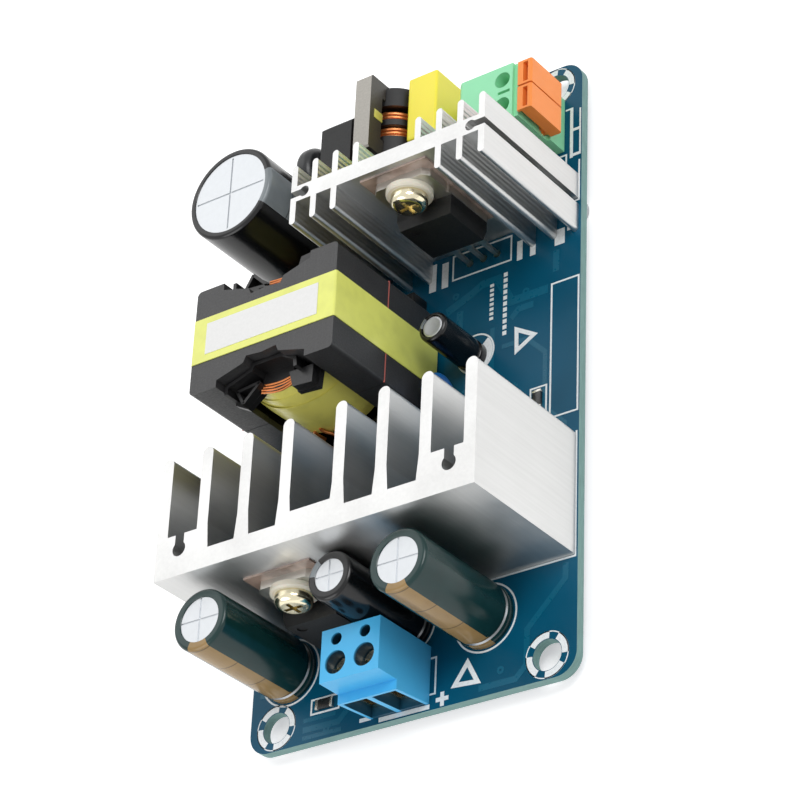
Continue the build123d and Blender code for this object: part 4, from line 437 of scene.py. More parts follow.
def ink_finish(look):
    """Printed epoxy ink: a matt white, slightly thin and grainy, so that its tone varies."""
    made, tree, where = blank("printed_ink")
    thin, shade = mottled(tree, where, 0.4, tone(look.ink), tone(look.ink, 0.6), 5.0, (0.5, 0.8, 0.5))
    return surface(made, thin, 0.005, {"Base Color": shade, "Roughness": 0.55})


# Corner holes and the printed part rings round them: radii, rim, and turn and gap in degrees
HOLE_X, HOLE_Y = 24.07, 48.8
RING_INNER, RING_OUTER, RING_RIM = 2.5, 3.62, 0.16
RING_TURN, RING_GAP = 70, 14
# Bars and boxes as left, right, front and back, and circles as x, y and radius
PRINTED_BARS = [
    (0.9, 2.2, 18.8, 23.8), (3.3, 4.5, 18.8, 23.4), (17.4, 18.4, 19.0, 22.5), (19.8, 20.8, 19.0, 21.6),
    (24.3, 26.1, 19.2, 22.0), (-5.0, 4.0, -52.3, -51.6), (-8.5, -6.4, -51.58, -50.98),
    (5.88, 6.53, -52.35, -50.15), (5.1, 5.87, -51.58, -50.93), (6.54, 7.3, -51.58, -50.93),
    (26.85, 27.4, 34.4, 43.85), (27.41, 28.55, 39.3, 39.8), (27.41, 28.55, 34.6, 35.1),
    (26.0, 26.84, 43.55, 43.85),
]
PRINTED_BOXES = [
    (23.9, 28.7, -10.7, 12.5), (5.4, 16.3, 19.6, 24.0), (-17.6, -12.5, -48.2, -45.9),
    (20.4, 23.2, -9.2, -4.8), (12.0, 26.2, 31.4, 35.3), (-13.2, -5.8, 35.2, 49.9), (3.9, 10.7, 38.3, 51.4),
]
PRINTED_CIRCLES = [
    (-22.0, -40.35, 5.3), (13.4, -40.35, 5.3), (0.2, -38.45, 4.2), (10.2, 4.8, 3.3), (-18.5, 29.8, 8.4),
]
# Plain triangles, and the size of the opening in them against their own
PRINTED_TRIANGLES = [
    [(17.26, 7.23), (21.51, 4.71), (17.38, 2.23)], [(10.5, -45.9), (12.9, -50.4), (7.65, -50.0)],
]
TRIANGLE_OPENING = 0.5
PRINTED_LINES = [
    [(3.95, -50.1), (4.9, -50.1), (4.9, -44.4), (3.95, -44.4)], [(28.6, -14.2), (28.6, -34.5), (13.8, -34.5)],
    [(28.7, 43.3), (28.7, 34.6)], [(28.6, 33.6), (28.6, 26.2), (27.4, 26.2)],
    [(-28.4, -14.2), (-28.4, -34.5)], [(-24.6, -5.6), (-24.6, 13.6)],
]
# Rows of short bars: x of the row, first and last y, length and pitch of the bars, and their half width
PRINTED_ROWS = [(12.9, 9.9, 16.1, 0.5, 0.85), (15.4, 6.4, 17.2, 0.7, 1.05), (26.9, 21.2, 24.6, 0.6, 1.0)]
ROW_HALF = 0.35
# Filled half of the small capacitor's circle: x, y, radius and the angles of its ends
FILLED_HALF = (10.2, 4.8, 3.12, -135, 45)


def board_print(look):
    """White marks: part rings round the corner holes, part outlines, bars and plain triangles."""
    low, high = BOARD_TOP, BOARD_TOP + look.print_height / MM
    line = look.print_line / MM
    skins = []
    middle, width = (RING_INNER + RING_OUTER) / 2, RING_OUTER - RING_INNER
    for x, y in [(sx * HOLE_X, sy * HOLE_Y) for sx in (-1, 1) for sy in (-1, 1)]:
        skins.append(ring(x, y, RING_OUTER - RING_RIM / 2, RING_RIM, low, high))
        for start in range(RING_TURN, RING_TURN + 360, 90):
            skins.append(stroke(arc(x, y, middle, start + RING_GAP, start + 90 - RING_GAP), width, low, high))
    skins += [bar(*box, low, high) for box in PRINTED_BARS]
    for x0, x1, y0, y1 in PRINTED_BOXES:
        outer, inner = [
            [(x0 - d, y0 - d), (x1 + d, y0 - d), (x1 + d, y1 + d), (x0 - d, y1 + d)]
            for d in (line / 2, -line / 2)
        ]
        skins.append(rim(outer, inner, low, high))
    skins += [ring(x, y, radius, line, low, high) for x, y, radius in PRINTED_CIRCLES]
    skins += [stroke(points, line, low, high) for points in PRINTED_LINES]
    for corners in PRINTED_TRIANGLES:
        outer = np.array(corners)
        centre = outer.mean(axis=0)
        skins.append(rim(outer, centre + (outer - centre) * TRIANGLE_OPENING, low, high))
    for x, first, last, size, pitch in PRINTED_ROWS:
        rows = np.arange(first, last, pitch)
        skins += [bar(x - ROW_HALF, x + ROW_HALF, y, y + size, low, high) for y in rows]
    skins.append(slab(arc(*FILLED_HALF), low, high))
    return piece("board_print", skins, ink_finish(look))


# Width and points of each track
TRACKS = [
    (1.5, [(4.45, 14.0), (9.25, 15.9), (11.1, 16.9), (14.0, 16.9), (16.5, 12.0), (23.2, 12.0)]),
    (0.8, [(26.5, -13.6), (26.5, -12.2), (22.9, -8.6), (22.9, 1.0), (19.5, 4.4), (15.0, 4.4)]),
    (0.8, [(5.6, -13.2), (5.6, -6.4), (13.2, 1.2), (13.2, 8.4)]),
    (1.2, [(7.0, 13.4), (7.0, 9.2), (9.4, 6.8)]),
    (1.0, [(12.5, -51.2), (18.8, -51.2), (20.6, -49.4), (20.6, -44.0), (27.0, -37.6), (27.0, -35.2)]),
    (2.0, [(-26.6, -34.9), (-26.6, -43.4)]),
    (1.0, [(-19.0, -50.4), (-12.4, -50.4), (-9.6, -47.6)]),
    (0.7, [(-19.0, -48.9), (-13.0, -48.9)]), (0.7, [(-19.0, -51.7), (-11.8, -51.7)]),
    (1.4, [(-27.0, -20.0), (-27.0, 14.0), (-25.6, 15.4), (-25.6, 18.0)]),
    (1.1, [(16.6, 8.9), (17.9, 10.2), (20.6, 10.2)]), (1.1, [(24.6, 14.6), (24.6, 18.4)]),
]
VIAS = [
    (8.2, -1.6), (17.4, -3.2), (19.2, 12.9), (24.9, -12.4), (6.1, 16.4), (13.6, -13.2), (-14.6, -51.0),
    (16.2, -49.2),
]
# Ring at a via: radius, width, its rise against a track's, and its sides
VIA_RADIUS, VIA_WIDTH, VIA_RISE, VIA_SIDES = 0.42, 0.4, 1.3, 20


def board_tracks(look):
    """Copper under the lacquer: flat raised lines above and below the board, and rings at the vias."""
    rise = look.copper_height / MM
    skins = []
    for width, points in TRACKS:
        skins.append(stroke(points, width, BOARD_TOP, BOARD_TOP + rise))
        skins.append(stroke([(-x, y) for x, y in points], width, -rise, 0))
    for x, y in VIAS:
        for low, high in ((BOARD_TOP, BOARD_TOP + rise * VIA_RISE), (-rise * VIA_RISE, 0)):
            skins.append(ring(x, y, VIA_RADIUS, VIA_WIDTH, low, high, VIA_SIDES))
    # Solder mask over copper: the same lacquer, paler for the metal below it
    finish = moulded(
        "solder_mask_on_copper", look.mask_copper, roughness=0.3, grain=0.8, depth=0.002, spread=0.12,
        gloss=0.3,
    )
    return piece("board_tracks", skins, finish)


class DressBoard(bpy.types.Operator):
    """Solder mask, copper tracks and printed marks of the circuit board"""
    bl_idname = "supply.dress_board"
    bl_label = "Board"

    def execute(self, context):
        look = context.scene.supply_board
        dress(board_finish(look), "circuit_board")
        board_tracks(look)
        board_print(look)
        return {"FINISHED"}


# Metals

# Middle and half width along X of the ribbed faces
RIBS_MIDDLE, RIBS_REACH = 10.59, 17.7


def extrusion_finish(name, look, ribs):
    """Extruded aluminium, etched matt: pale, with die lines up its sides and ribs along its fins."""
    made, tree, where = blank(name)
    drawn = put(tree, "Mapping", {"Vector": where, "Scale": (1.0, 1.0, 0.03)})
    lines, shade = mottled(tree, drawn, 0.5, tone(look.aluminium, 0.86), tone(look.aluminium), 4.0)
    cloud = put(tree, "TexNoise", {"Vector": where, "Scale": 1 / (11 * MM), "Detail": 3.0}, "Fac")
    # Ribs along the fins: waves across Y on faces that look along X, but not on the two outer faces
    wave = put(tree, "TexWave", {"Vector": where, "Scale": WAVE / look.rib}, "Fac", bands_direction="Y")
    for factor in (facing(tree, "X", 0.6), within(tree, where, "X", RIBS_MIDDLE, RIBS_REACH), ribs):
        wave = put(tree, "Math", {0: wave, 1: factor}, operation="MULTIPLY")
    height = put(tree, "Math", {0: lines, 1: 0.12, 2: wave}, operation="MULTIPLY_ADD")
    rough = put(tree, "MapRange", {
        "Value": cloud, "From Min": 0.35, "From Max": 0.65, "To Min": 0.34, "To Max": 0.46,
    })
    return surface(made, height, 0.08, {"Base Color": shade, "Roughness": rough, "Metallic": 1.0})


class DressMetals(bpy.types.Operator):
    """Extruded aluminium, screws, solder and leads"""
    bl_idname = "supply.dress_metals"
    bl_label = "Heatsinks and metal"

    def execute(self, context):
        look = context.scene.supply_metal
        dress(extrusion_finish("extruded_aluminium", look, 0.0), "output_heatsink")
        dress(extrusion_finish("ribbed_aluminium", look, 1.0), "primary_heatsink")
        # Zinc plated steel, rolled and polished: bright, slightly warm
        zinc = metal("zinc_plated_steel", look.steel, roughness=0.16, grain=0.8, depth=0.002, spread=0.08)
        dress(zinc, "mosfet_screw", "rectifier_screw")
        # Clear zinc on the screws below the board: grey and plainer
        clear = metal("clear_zinc_steel", look.zinc, grain=0.8, depth=0.002, spread=0.08)
        dress(clear, "output_heatsink_screws", "primary_heatsink_screws")
        # Reflowed solder: rounded, bright and a little uneven
        solder = metal("reflowed_solder", look.solder, roughness=0.25, grain=0.6, depth=0.02)
        dress(solder, "solder_joints")
        # Tinned copper wire and tabs: satin, drawn along their length
        tin = metal("tinned_copper", look.solder, roughness=0.35, stretch=(3, 3, 0.3), grain=0.4, spread=0.12)
        dress(
            tin, "component_leads", "transformer_pins", "input_pins", "mosfet_tab_and_leads",
            "rectifier_tab_and_leads",
        )
        # Nickelled brass, turned: warm and bright
        brass = metal(
            "nickelled_brass", look.brass, roughness=0.2, stretch=(1, 1, 6), grain=0.4, depth=0.003,
            spread=0.12,
        )
        dress(
            brass, "output_clamp_screw_left", "output_clamp_screw_right", "output_clamp_cage_left",
            "output_clamp_cage_right", "output_contacts",
        )
        # Stainless spring strip: grey, rolled
        spring = metal("spring_steel", look.solder, stretch=(1, 8, 1), grain=0.4, depth=0.003)
        dress(spring, "input_clamp_springs")
        return {"FINISHED"}


def pad_finish():
    """Insulating sheet of silicone on glass: greyish pink, half gloss, with soft pressed patches."""
    made, tree, where = blank("insulating_sheet")
    patch, shade = mottled(tree, where, 3.0, linear("#A68F82"), linear("#77655B"), 2.0, (0.4, 0.65, 1.0))
    return surface(made, patch, 0.02, {
        "Base Color": shade, "Roughness": 0.28, "Coat Weight": 0.3, "Coat Roughness": 0.1,
    })


class DressDevices(bpy.types.Operator):
    """Bodies, bushes and insulating sheets of the two tabbed devices, and the other black parts"""
    bl_idname = "supply.dress_devices"
    bl_label = "Power devices"

    def execute(self, context):
        # Moulded epoxy of chip packages: nearly black, matt, fine grain
        epoxy = moulded(
            "moulded_epoxy", linear("#121314"), roughness=0.5, grain=0.18, depth=0.015, cloud=4.0, spread=0.2,
            gloss=0.4,
        )
        dress(epoxy, "mosfet_body", "rectifier_body", "optocoupler", "controller_chip", "bridge_rectifier")
        # Natural nylon bush: off-white, waxy
        nylon = moulded("natural_nylon", linear("#DCD6C6"), cloud=3.0, spread=0.08, glow=0.1)
        dress(nylon, "mosfet_bush", "rectifier_bush")
        dress(pad_finish(), "mosfet_insulating_pad", "rectifier_insulating_pad")
        return {"FINISHED"}


# Transformer

CORE_X, CORE_Y = -9.85, 3.95
CORE_LEFT, CORE_RIGHT, CORE_FRONT, CORE_BACK = -23.3, 3.6, -5.2, 13.1
CORE_LOW, CORE_HIGH = 2.5, 27.9
TUBE_INNER, TUBE_OUTER = 6.35, 7.1
DRUM_RADIUS = 10.15
WINDING_LOW, WINDING_HIGH = 7.9, 22.5
FLANGE_RADIUS, FLANGE_THICKNESS = 11.2, 0.9
RAIL_HALF, TONGUE_HALF, RAIL_HEIGHT = 10.5, 8.0, 3.6
RAIL_NEAR, RAIL_FAR = 9.45, 13.45
# Plan of the bobbin's upper end in the core's front notch: tray wall, hooks and the flange's two wings
TRAY_TOP, TRAY_WALL = 26.2, 0.6
TRAY_LINE = [
    (-17.5, -5.9), (-17.5, -4.6), (-12.9, -3.1), (-12.5, -2.2), (-7.2, -2.2), (-4.7, -3.55), (-4.5, -5.0),
]
LEFT_HOOK = [(-16.6, -5.0), (-12.3, -4.6), (-15.2, -7.4)]
RIGHT_HOOK = [(-6.7, -4.7), (-2.2, -4.7), (-2.3, -7.7), (-5.9, -7.4)]
LEFT_WING = [(-18.0, -4.4), (-12.4, -4.4), (-12.7, -5.7), (-15.3, -7.7), (-17.8, -6.3)]
RIGHT_WING = [(-7.0, -4.4), (-1.8, -4.4), (-2.1, -7.9), (-6.0, -7.6)]
HOOK_HEIGHT, HOOK_BAR = 1.4, 0.5


def ferrite_finish(look):
    """Sintered ferrite, ground on its faces: dark grey, matt, with fine pits and paler scratches."""
    made, tree, where = blank("ground_ferrite")
    fine = put(tree, "TexNoise", {"Vector": where, "Scale": 1 / (0.3 * MM), "Detail": 6.0}, "Fac")
    body = mottled(tree, where, 5, tone(look.core, 0.75), tone(look.core, 1.3))[1]
    ground = put(tree, "Mapping", {"Vector": where, "Scale": (1.0, 0.08, 1.0), "Rotation": (0, 0, 0.6)})
    shade = mottled(tree, ground, 0.5, body, tone(look.core, 2.6), 4.0, (0.58, 0.75, 0.2))[1]
    rough = put(tree, "MapRange", {
        "Value": fine, "From Min": 0.3, "From Max": 0.7, "To Min": 0.36, "To Max": 0.55,
    })
    return surface(made, fine, 0.03, {"Base Color": shade, "Roughness": rough, "Specular IOR Level": 0.6})


def tape_finish(name, colour, under, stretch=(1, 1, 0.35)):
    """Polyester tape: bright and glossy, softly creased, with what is below it showing a little."""
    made, tree, where = blank(name)
    along = put(tree, "Mapping", {"Vector": where, "Scale": stretch})
    crease = put(tree, "TexNoise", {"Vector": along, "Scale": 1 / (2.2 * MM), "Detail": 3.0}, "Fac")
    shade = mottled(tree, where, 3.5, tone(colour), tone(colour, 0.5), 3.0, (0.45, 0.75, under))[1]
    return surface(made, crease, 0.08, {
        "Base Color": shade, "Roughness": 0.3, "Coat Weight": 0.2, "Coat Roughness": 0.1,
    })


def enamel_finish(look):
    """Enamelled copper wire: warm metal under clear lacquer, bright at its crown."""
    made, tree, where = blank("enamelled_copper")
    cloud, shade = mottled(tree, where, 1.5, tone(look.copper, 0.7), tone(look.copper, 1.15))
    return surface(made, cloud, 0.01, {
        "Base Color": shade, "Roughness": 0.3, "Metallic": 0.8, "Coat Weight": 0.5, "Coat Roughness": 0.1,
    })


# How far the winding falls off at its flanges, height of its lumps, and its clearance from the flanges
DRUM_FALL, DRUM_LUMP, DRUM_CLEAR = 0.75, 0.12, 0.03


def drum_radius(turn, rise):
    """Radius of the winding: it falls off towards both flanges and has three slow lumps round it."""
    lump = DRUM_LUMP * np.sin(3 * turn + 1.0) * np.sin(np.pi * rise)
    return DRUM_RADIUS - DRUM_FALL * (2 * rise - 1) ** 4 + lump


def round_core(radius, turn, height):
    """Points at a radius, an angle and a height about the core's own middle line."""
    return np.stack([CORE_X + radius * np.cos(turn), CORE_Y + radius * np.sin(turn), height], axis=-1)


def winding_drum():
    """Taped winding: the drum's radius over a grid of angle and height, closed on the bobbin's tube."""
    turn, rise = np.meshgrid(np.linspace(0, 2 * np.pi, 120, endpoint=False), np.linspace(0, 1, 30))
    z = WINDING_LOW + DRUM_CLEAR + (WINDING_HIGH - WINDING_LOW - 2 * DRUM_CLEAR) * rise
    grid = round_core(drum_radius(turn, rise), turn, z)
    hub = round_core(np.full_like(turn, TUBE_OUTER), turn, z)
    return skin(np.vstack([hub[:1], grid, hub[-1:]]), loop_u=True, loop_v=True)


# Turns of tape over the drum: middle height, width, tilt, direction of the tilt, lift from the drum
WINDING_WRAPS = [(18.4, 6.4, 0.8, 0.4, 0.05), (12.4, 6.4, 0.9, 2.2, 0.16), (15.4, 5.0, 1.6, 4.2, 0.27)]
WRAP_RIPPLE, WRAP_WALL = 0.05, 0.07


def winding_wrap(middle, width, tilt, direction, lift):
    """One turn of tape: a thin band round the drum whose height goes up and down once round it."""
    turn, across = np.meshgrid(np.linspace(0, 2 * np.pi, 120, endpoint=False), np.linspace(-0.5, 0.5, 10))
    z = middle + width * across + tilt * np.sin(turn + direction)
    r = drum_radius(turn, (z - WINDING_LOW) / (WINDING_HIGH - WINDING_LOW)) + lift
    r += WRAP_RIPPLE * np.sin(7 * turn + 5 * across) * (0.5 + across)
    inner, outer = round_core(r, turn, z), round_core(r + WRAP_WALL, turn, z)
    return skin(np.vstack([inner, outer[::-1]]), loop_u=True, loop_v=True)


# Wire ends on each side: how many, degrees between their feet, and how their heads turn and fan out
SIDE_WIRES, WIRE_PITCH, WIRE_LEAN, WIRE_FAN = 5, 15, 7, 5
# Height of their feet, shares of the winding's height at their heads, distance from the drum and dip
WIRE_FOOT, WIRE_TOP, WIRE_TOP_STEP, WIRE_CLEAR, WIRE_DIP = 0.4, 0.1, 0.03, 0.5, 0.2


def winding_wires(radius):
    """Wire ends on the winding: each slants down it from its angle above to its pin's angle below."""
    skins = []
    t = np.linspace(0, 1, 26)
    ease = t * t * (3 - 2 * t)
    for side in (-1, 1):
        for i in range(SIDE_WIRES):
            foot = side * 90 + (i - 2) * WIRE_PITCH
            head = foot + side * (WIRE_LEAN + WIRE_FAN * (i - 2))
            angle = np.radians(head + (foot - head) * ease)
            top = WIRE_TOP + WIRE_TOP_STEP * ((i * 2) % SIDE_WIRES)
            z = WINDING_LOW + WIRE_FOOT + top * (WINDING_HIGH - WINDING_LOW) * (1 - t)
            out = DRUM_RADIUS + WIRE_CLEAR - WIRE_DIP * (1 - t) ** 8
            skins.append(tube(round_core(out, angle, z), radius))
    return skins


# Strands over the slot: share of the wire's radius, number, left end and span in X, first row and pitch in Y
STRAND_SHARE = 0.6
STRANDS, STRAND_LEFT, STRAND_SPAN, STRAND_NEAR, STRAND_PITCH = 4, -12.7, 6.1, 8.5, 0.42
# Their bow in Y, height over the flange, and the sag of the first and what each next one adds
STRAND_BOW, STRAND_RISE, STRAND_SAG, STRAND_SAG_STEP = 0.25, 0.25, 0.2, 0.12


def tray_wires(radius):
    """Thin strands at the bobbin's upper end: each runs along X from wing to wing and sags between them."""
    skins = []
    t = np.linspace(0, 1, 20)
    sag = np.sin(np.pi * t)
    for sign in (-1, 1):
        for i in range(STRANDS):
            y = CORE_Y + sign * (STRAND_NEAR + STRAND_PITCH * i + STRAND_BOW * sag)
            z = WINDING_HIGH + FLANGE_THICKNESS + STRAND_RISE - (STRAND_SAG + STRAND_SAG_STEP * i) * sag
            path = np.column_stack([STRAND_LEFT + STRAND_SPAN * t, y, z])
            skins.append(tube(path, radius * STRAND_SHARE))
    return skins


def at_end(points, sign):
    """Plan points of the front end as they are, or turned over to the back end about the core's middle."""
    return [(x, CORE_Y - sign * (y - CORE_Y)) for x, y in points]


# Collar below the tray, and the flange's plates beside the core's middle leg, from the core's centre
COLLAR_RADIUS = 9.6
PLATE_X, PLATE_Y = (2.9, 8.1), (5.0, 8.4)
LOWER_PLATE_NEAR, TONGUE_SINK = 6.0, 0.4


def bobbin_skins():
    """Bobbin: turned tube and lower flange, upper flange of plates, tray walls, hooks, rails and tongues."""
    low, high = WINDING_LOW - FLANGE_THICKNESS, WINDING_HIGH + FLANGE_THICKNESS
    skins = [turned([
        (TUBE_OUTER, low), (FLANGE_RADIUS, low), (FLANGE_RADIUS, WINDING_LOW), (TUBE_OUTER, WINDING_LOW),
        (TUBE_OUTER, WINDING_HIGH), (COLLAR_RADIUS, WINDING_HIGH), (COLLAR_RADIUS, high), (TUBE_INNER, high),
        (TUBE_INNER, low), (TUBE_OUTER, low),
    ], CORE_X, CORE_Y, 96)]
    for sign in (-1, 1):
        for plan in (LEFT_WING, RIGHT_WING):
            skins.append(slab(at_end(plan, sign), WINDING_HIGH, high))
        y_span = sorted(CORE_Y + sign * y for y in PLATE_Y)
        for side in (-1, 1):
            x_span = sorted(CORE_X + side * x for x in PLATE_X)
            skins.append(bar(*x_span, *y_span, WINDING_HIGH, high))
        skins.append(stroke(at_end(TRAY_LINE, sign), TRAY_WALL, high, TRAY_TOP))
        for ends in edges(at_end(LEFT_HOOK, sign)):
            skins.append(stroke(ends, HOOK_BAR, high, high + HOOK_HEIGHT))
        skins.append(slab(at_end(RIGHT_HOOK, sign), high, high + HOOK_HEIGHT))
        rail_top = BOARD_TOP + RAIL_HEIGHT
        for half, inner, bottom, top, radius in (
            (RAIL_HALF, RAIL_NEAR, BOARD_TOP, rail_top, 0.25),
            (TONGUE_HALF, RAIL_NEAR, rail_top - TONGUE_SINK, WINDING_LOW, 0.25),
            (TONGUE_HALF, LOWER_PLATE_NEAR, low, WINDING_LOW, 0.2),
        ):
            near, far = sorted((CORE_Y + sign * inner, CORE_Y + sign * RAIL_FAR))
            skins.append(rounded_box((CORE_X - half, near, bottom), (CORE_X + half, far, top), radius))
    return skins


# Tape band: radius at the core's corners, half its width, and lift of its inner and outer face
BAND_CORNER, BAND_HALF, BAND_INNER, BAND_OUTER = 0.2, 3.9, 0.01, 0.14


def tape_band():
    """Tape round the core: a rounded loop in the XZ plane with a thin wall, carried along Y."""
    steps = 7
    angle = np.concatenate([np.linspace(0, np.pi / 2, steps) + k * np.pi / 2 for k in range(4)])
    right, left = CORE_RIGHT - BAND_CORNER, CORE_LEFT + BAND_CORNER
    above, below = CORE_HIGH - BAND_CORNER, CORE_LOW + BAND_CORNER
    middle_x = np.repeat([right, left, left, right], steps)
    middle_z = np.repeat([above, above, below, below], steps)
    rows = []
    for lift, y in (
        (BAND_INNER, -BAND_HALF), (BAND_OUTER, -BAND_HALF), (BAND_OUTER, BAND_HALF), (BAND_INNER, BAND_HALF),
    ):
        x = middle_x + (BAND_CORNER + lift) * np.cos(angle)
        z = middle_z + (BAND_CORNER + lift) * np.sin(angle)
        rows.append(np.column_stack([x, np.full_like(x, CORE_Y + y), z]))
    return skin(np.array(rows), loop_u=True, loop_v=True)


def paper_finish(look):
    """Uncoated label paper: bright, matt, with faint fibres."""
    made, tree, where = blank("label_paper")
    fibre, shade = mottled(tree, where, 0.5, tone(look.label, 0.9), tone(look.label), 6.0)
    return surface(made, fibre, 0.01, {"Base Color": shade, "Roughness": 0.75, "Specular IOR Level": 0.2})


# Film in the gap of the core's outer legs: half its thickness, how far it stands proud, its depth and set-in
FILM_HALF, FILM_PROUD, FILM_DEPTH, FILM_SET_IN = 0.11, 0.03, 0.6, 0.3


class DressTransformer(bpy.types.Operator):
    """Ferrite core, bobbin, taped winding, wire ends, tape band and blank label"""
    bl_idname = "supply.dress_transformer"
    bl_label = "Transformer"

    def execute(self, context):
        look = context.scene.supply_transformer
        wire = look.wire_radius / MM
        dress(ferrite_finish(look), "transformer_core_upper", "transformer_core_lower")
        # Phenolic moulding: black, half gloss
        phenolic = moulded("moulded_phenolic", look.bobbin, roughness=0.36, cloud=4.0, spread=0.2)
        dress(phenolic, "choke_bobbin")
        piece("bobbin", bobbin_skins(), phenolic, ["transformer_bobbin"])
        piece(
            "winding", [winding_drum(), *[winding_wrap(*wrap) for wrap in WINDING_WRAPS]],
            tape_finish("winding_tape_film", look.winding, 0.35), ["transformer_winding"],
        )
        piece(
            "winding_wires", winding_wires(wire) + tray_wires(wire), enamel_finish(look),
            ["transformer_lead_wires"],
        )
        piece(
            "core_tape", [tape_band()], tape_finish("core_tape_film", look.tape, 0.22),
            ["transformer_tape"],
        )
        dress(paper_finish(look), "transformer_label")
        # Lacquered paper film between the core's halves: dull red, seen as a thin line on both sides
        film = moulded("lacquered_film", look.film, depth=0.004, cloud=2.0, spread=0.2)
        middle = (CORE_LOW + CORE_HIGH) / 2
        spans = (CORE_FRONT + FILM_SET_IN, CORE_BACK - FILM_SET_IN, middle - FILM_HALF, middle + FILM_HALF)
        piece("core_gap_film", [
            bar(CORE_RIGHT - FILM_DEPTH, CORE_RIGHT + FILM_PROUD, *spans),
            bar(CORE_LEFT - FILM_PROUD, CORE_LEFT + FILM_DEPTH, *spans),
        ], film)
        return {"FINISHED"}


# Capacitors

# Direction of the stripe in degrees, colour of the sleeve, and how far its lip covers the can
CAPACITORS = {
    "bulk_capacitor": (-8, "black", 1.0),
    "output_capacitor_left": (-90, "green", 1.3),
    "output_capacitor_right": (-90, "green", 1.3),
    "output_capacitor_small": (150, "black", 1.25),
    "supply_capacitor": (150, "black", 0.5),
}
# Half the stripe's width in radians, and the thin lines across it: pitch, and half width as a share of it
STRIPE_HALF = 0.4
CROSS_PITCH, CROSS_HALF = 6.4, 0.018


def sleeve_finish(name, x, y, base, stripe, stripe_angle):
    """Shrunk sleeve: glossy film of one colour with a paler stripe down one side and thin lines across it."""
    made, tree, where = blank(name)
    around = put(tree, "Mapping", {"Vector": where, "Location": (-x * MM, -y * MM, 0)})
    east, north, height = [put(tree, "SeparateXYZ", {0: around}, axis) for axis in "XYZ"]
    angle = put(tree, "Math", {0: north, 1: east}, operation="ARCTAN2")
    middle = math.radians(stripe_angle)
    band = put(tree, "Math", {0: angle, 1: middle, 2: STRIPE_HALF}, operation="COMPARE")
    cross = put(tree, "Math", {0: height, 1: 1 / (CROSS_PITCH * MM)}, operation="MULTIPLY")
    cross = put(tree, "Math", {0: cross}, operation="FRACT")
    cross = put(tree, "Math", {0: cross, 1: 0.5, 2: CROSS_HALF}, operation="COMPARE")
    cross = put(tree, "Math", {0: cross, 1: band}, operation="MULTIPLY")
    shade = mottled(tree, where, 3, tone(base, 0.7), tone(base, 1.3))[1]
    foil = mottled(tree, where, 3, tone(stripe, 0.75), tone(stripe, 1.1))[1]
    for mask, colour in ((band, foil), (cross, tone(stripe, 0.45))):
        shade = put(tree, "Mix", {0: mask, 6: shade, 7: colour}, 2, data_type="RGBA")
    pulled = put(tree, "Mapping", {"Vector": where, "Scale": (1.0, 1.0, 0.2)})
    pulled = put(tree, "TexNoise", {"Vector": pulled, "Scale": 1 / (2.4 * MM), "Detail": 2.0}, "Fac")
    return surface(made, pulled, 0.04, {"Base Color": shade, "Roughness": 0.2, "Specular IOR Level": 0.4})


# Heights below the can's top between which the painted shade of the grooves darkens
GROOVE_LOW, GROOVE_HIGH = 0.3, 0.15


def can_finish(name, look, top):
    """Drawn aluminium can: bright, satin and even, with painted shade in the stamped grooves below its top
    face.
    """
    made, tree, where = blank(name)
    fine, face = mottled(tree, where, 0.8, tone(look.can, 0.9), tone(look.can))
    height = put(tree, "SeparateXYZ", {0: where}, "Z")
    painted_groove_shade = put(tree, "MapRange", {
        "Value": height, "From Min": (top - GROOVE_LOW) * MM, "From Max": (top - GROOVE_HIGH) * MM,
        "To Min": 1.0, "To Max": 0.0,
    })
    shade = put(tree, "Mix", {0: painted_groove_shade, 6: face, 7: tone(look.groove)}, 2, data_type="RGBA")
    return surface(made, fine, 0.004, {"Base Color": shade, "Roughness": 0.36, "Metallic": 1.0})


# Crimped bead: its height above the board, half its width and its depth
BEAD_HEIGHT, BEAD_HALF, BEAD_DEPTH = 1.75, 0.5, 0.42
# Sleeve: rise of its lip over the can, radius of its rim and its wall; can: set-in from the sleeve, and crown
LIP_RISE, RIM_RADIUS, SLEEVE_WALL = 0.13, 0.6, 0.62
CAN_SET_IN, CAN_CROWN = 0.66, 0.3


def sleeve_profile(radius, top, lip):
    """Outline of a shrunk sleeve: it follows the crimped bead, rounds over the rim and ends in a lip."""
    a = np.linspace(0, np.pi, 9)
    groove = np.column_stack([
        radius - BEAD_DEPTH * np.sin(a), BOARD_TOP + BEAD_HEIGHT - BEAD_HALF * np.cos(a),
    ])
    turn = np.linspace(0, np.pi / 2, 8)
    crown = np.column_stack([
        radius - RIM_RADIUS + RIM_RADIUS * np.cos(turn), top + LIP_RISE - RIM_RADIUS * (1 - np.sin(turn)),
    ])
    inner, lip_end = radius - SLEEVE_WALL, radius - lip - 0.08
    inward = [
        (radius - lip, top + 0.11), (lip_end, top + 0.05), (lip_end, top - 0.01), (inner, top - 0.06),
        (inner, BOARD_TOP + 0.3), (radius - 0.4, BOARD_TOP), (radius - 0.06, BOARD_TOP),
    ]
    start = [(radius - 0.06, BOARD_TOP), (radius, BOARD_TOP + 0.1)]
    return np.vstack([start, groove, crown, inward])


def can_profile(radius, top):
    """Outline of a drawn can inside its sleeve: closed on its axis, with a crown round the flat top."""
    inner = radius - CAN_SET_IN
    turn = np.linspace(0, np.pi / 2, 6)
    crown = np.column_stack([
        inner - CAN_CROWN + CAN_CROWN * np.cos(turn), top - CAN_CROWN + (CAN_CROWN - 0.04) * np.sin(turn),
    ])
    return np.vstack([
        [(0, BOARD_TOP + 0.1), (inner, BOARD_TOP + 0.1)], crown, [(inner - 0.6, top - 0.1), (0, top - 0.1)],
    ])


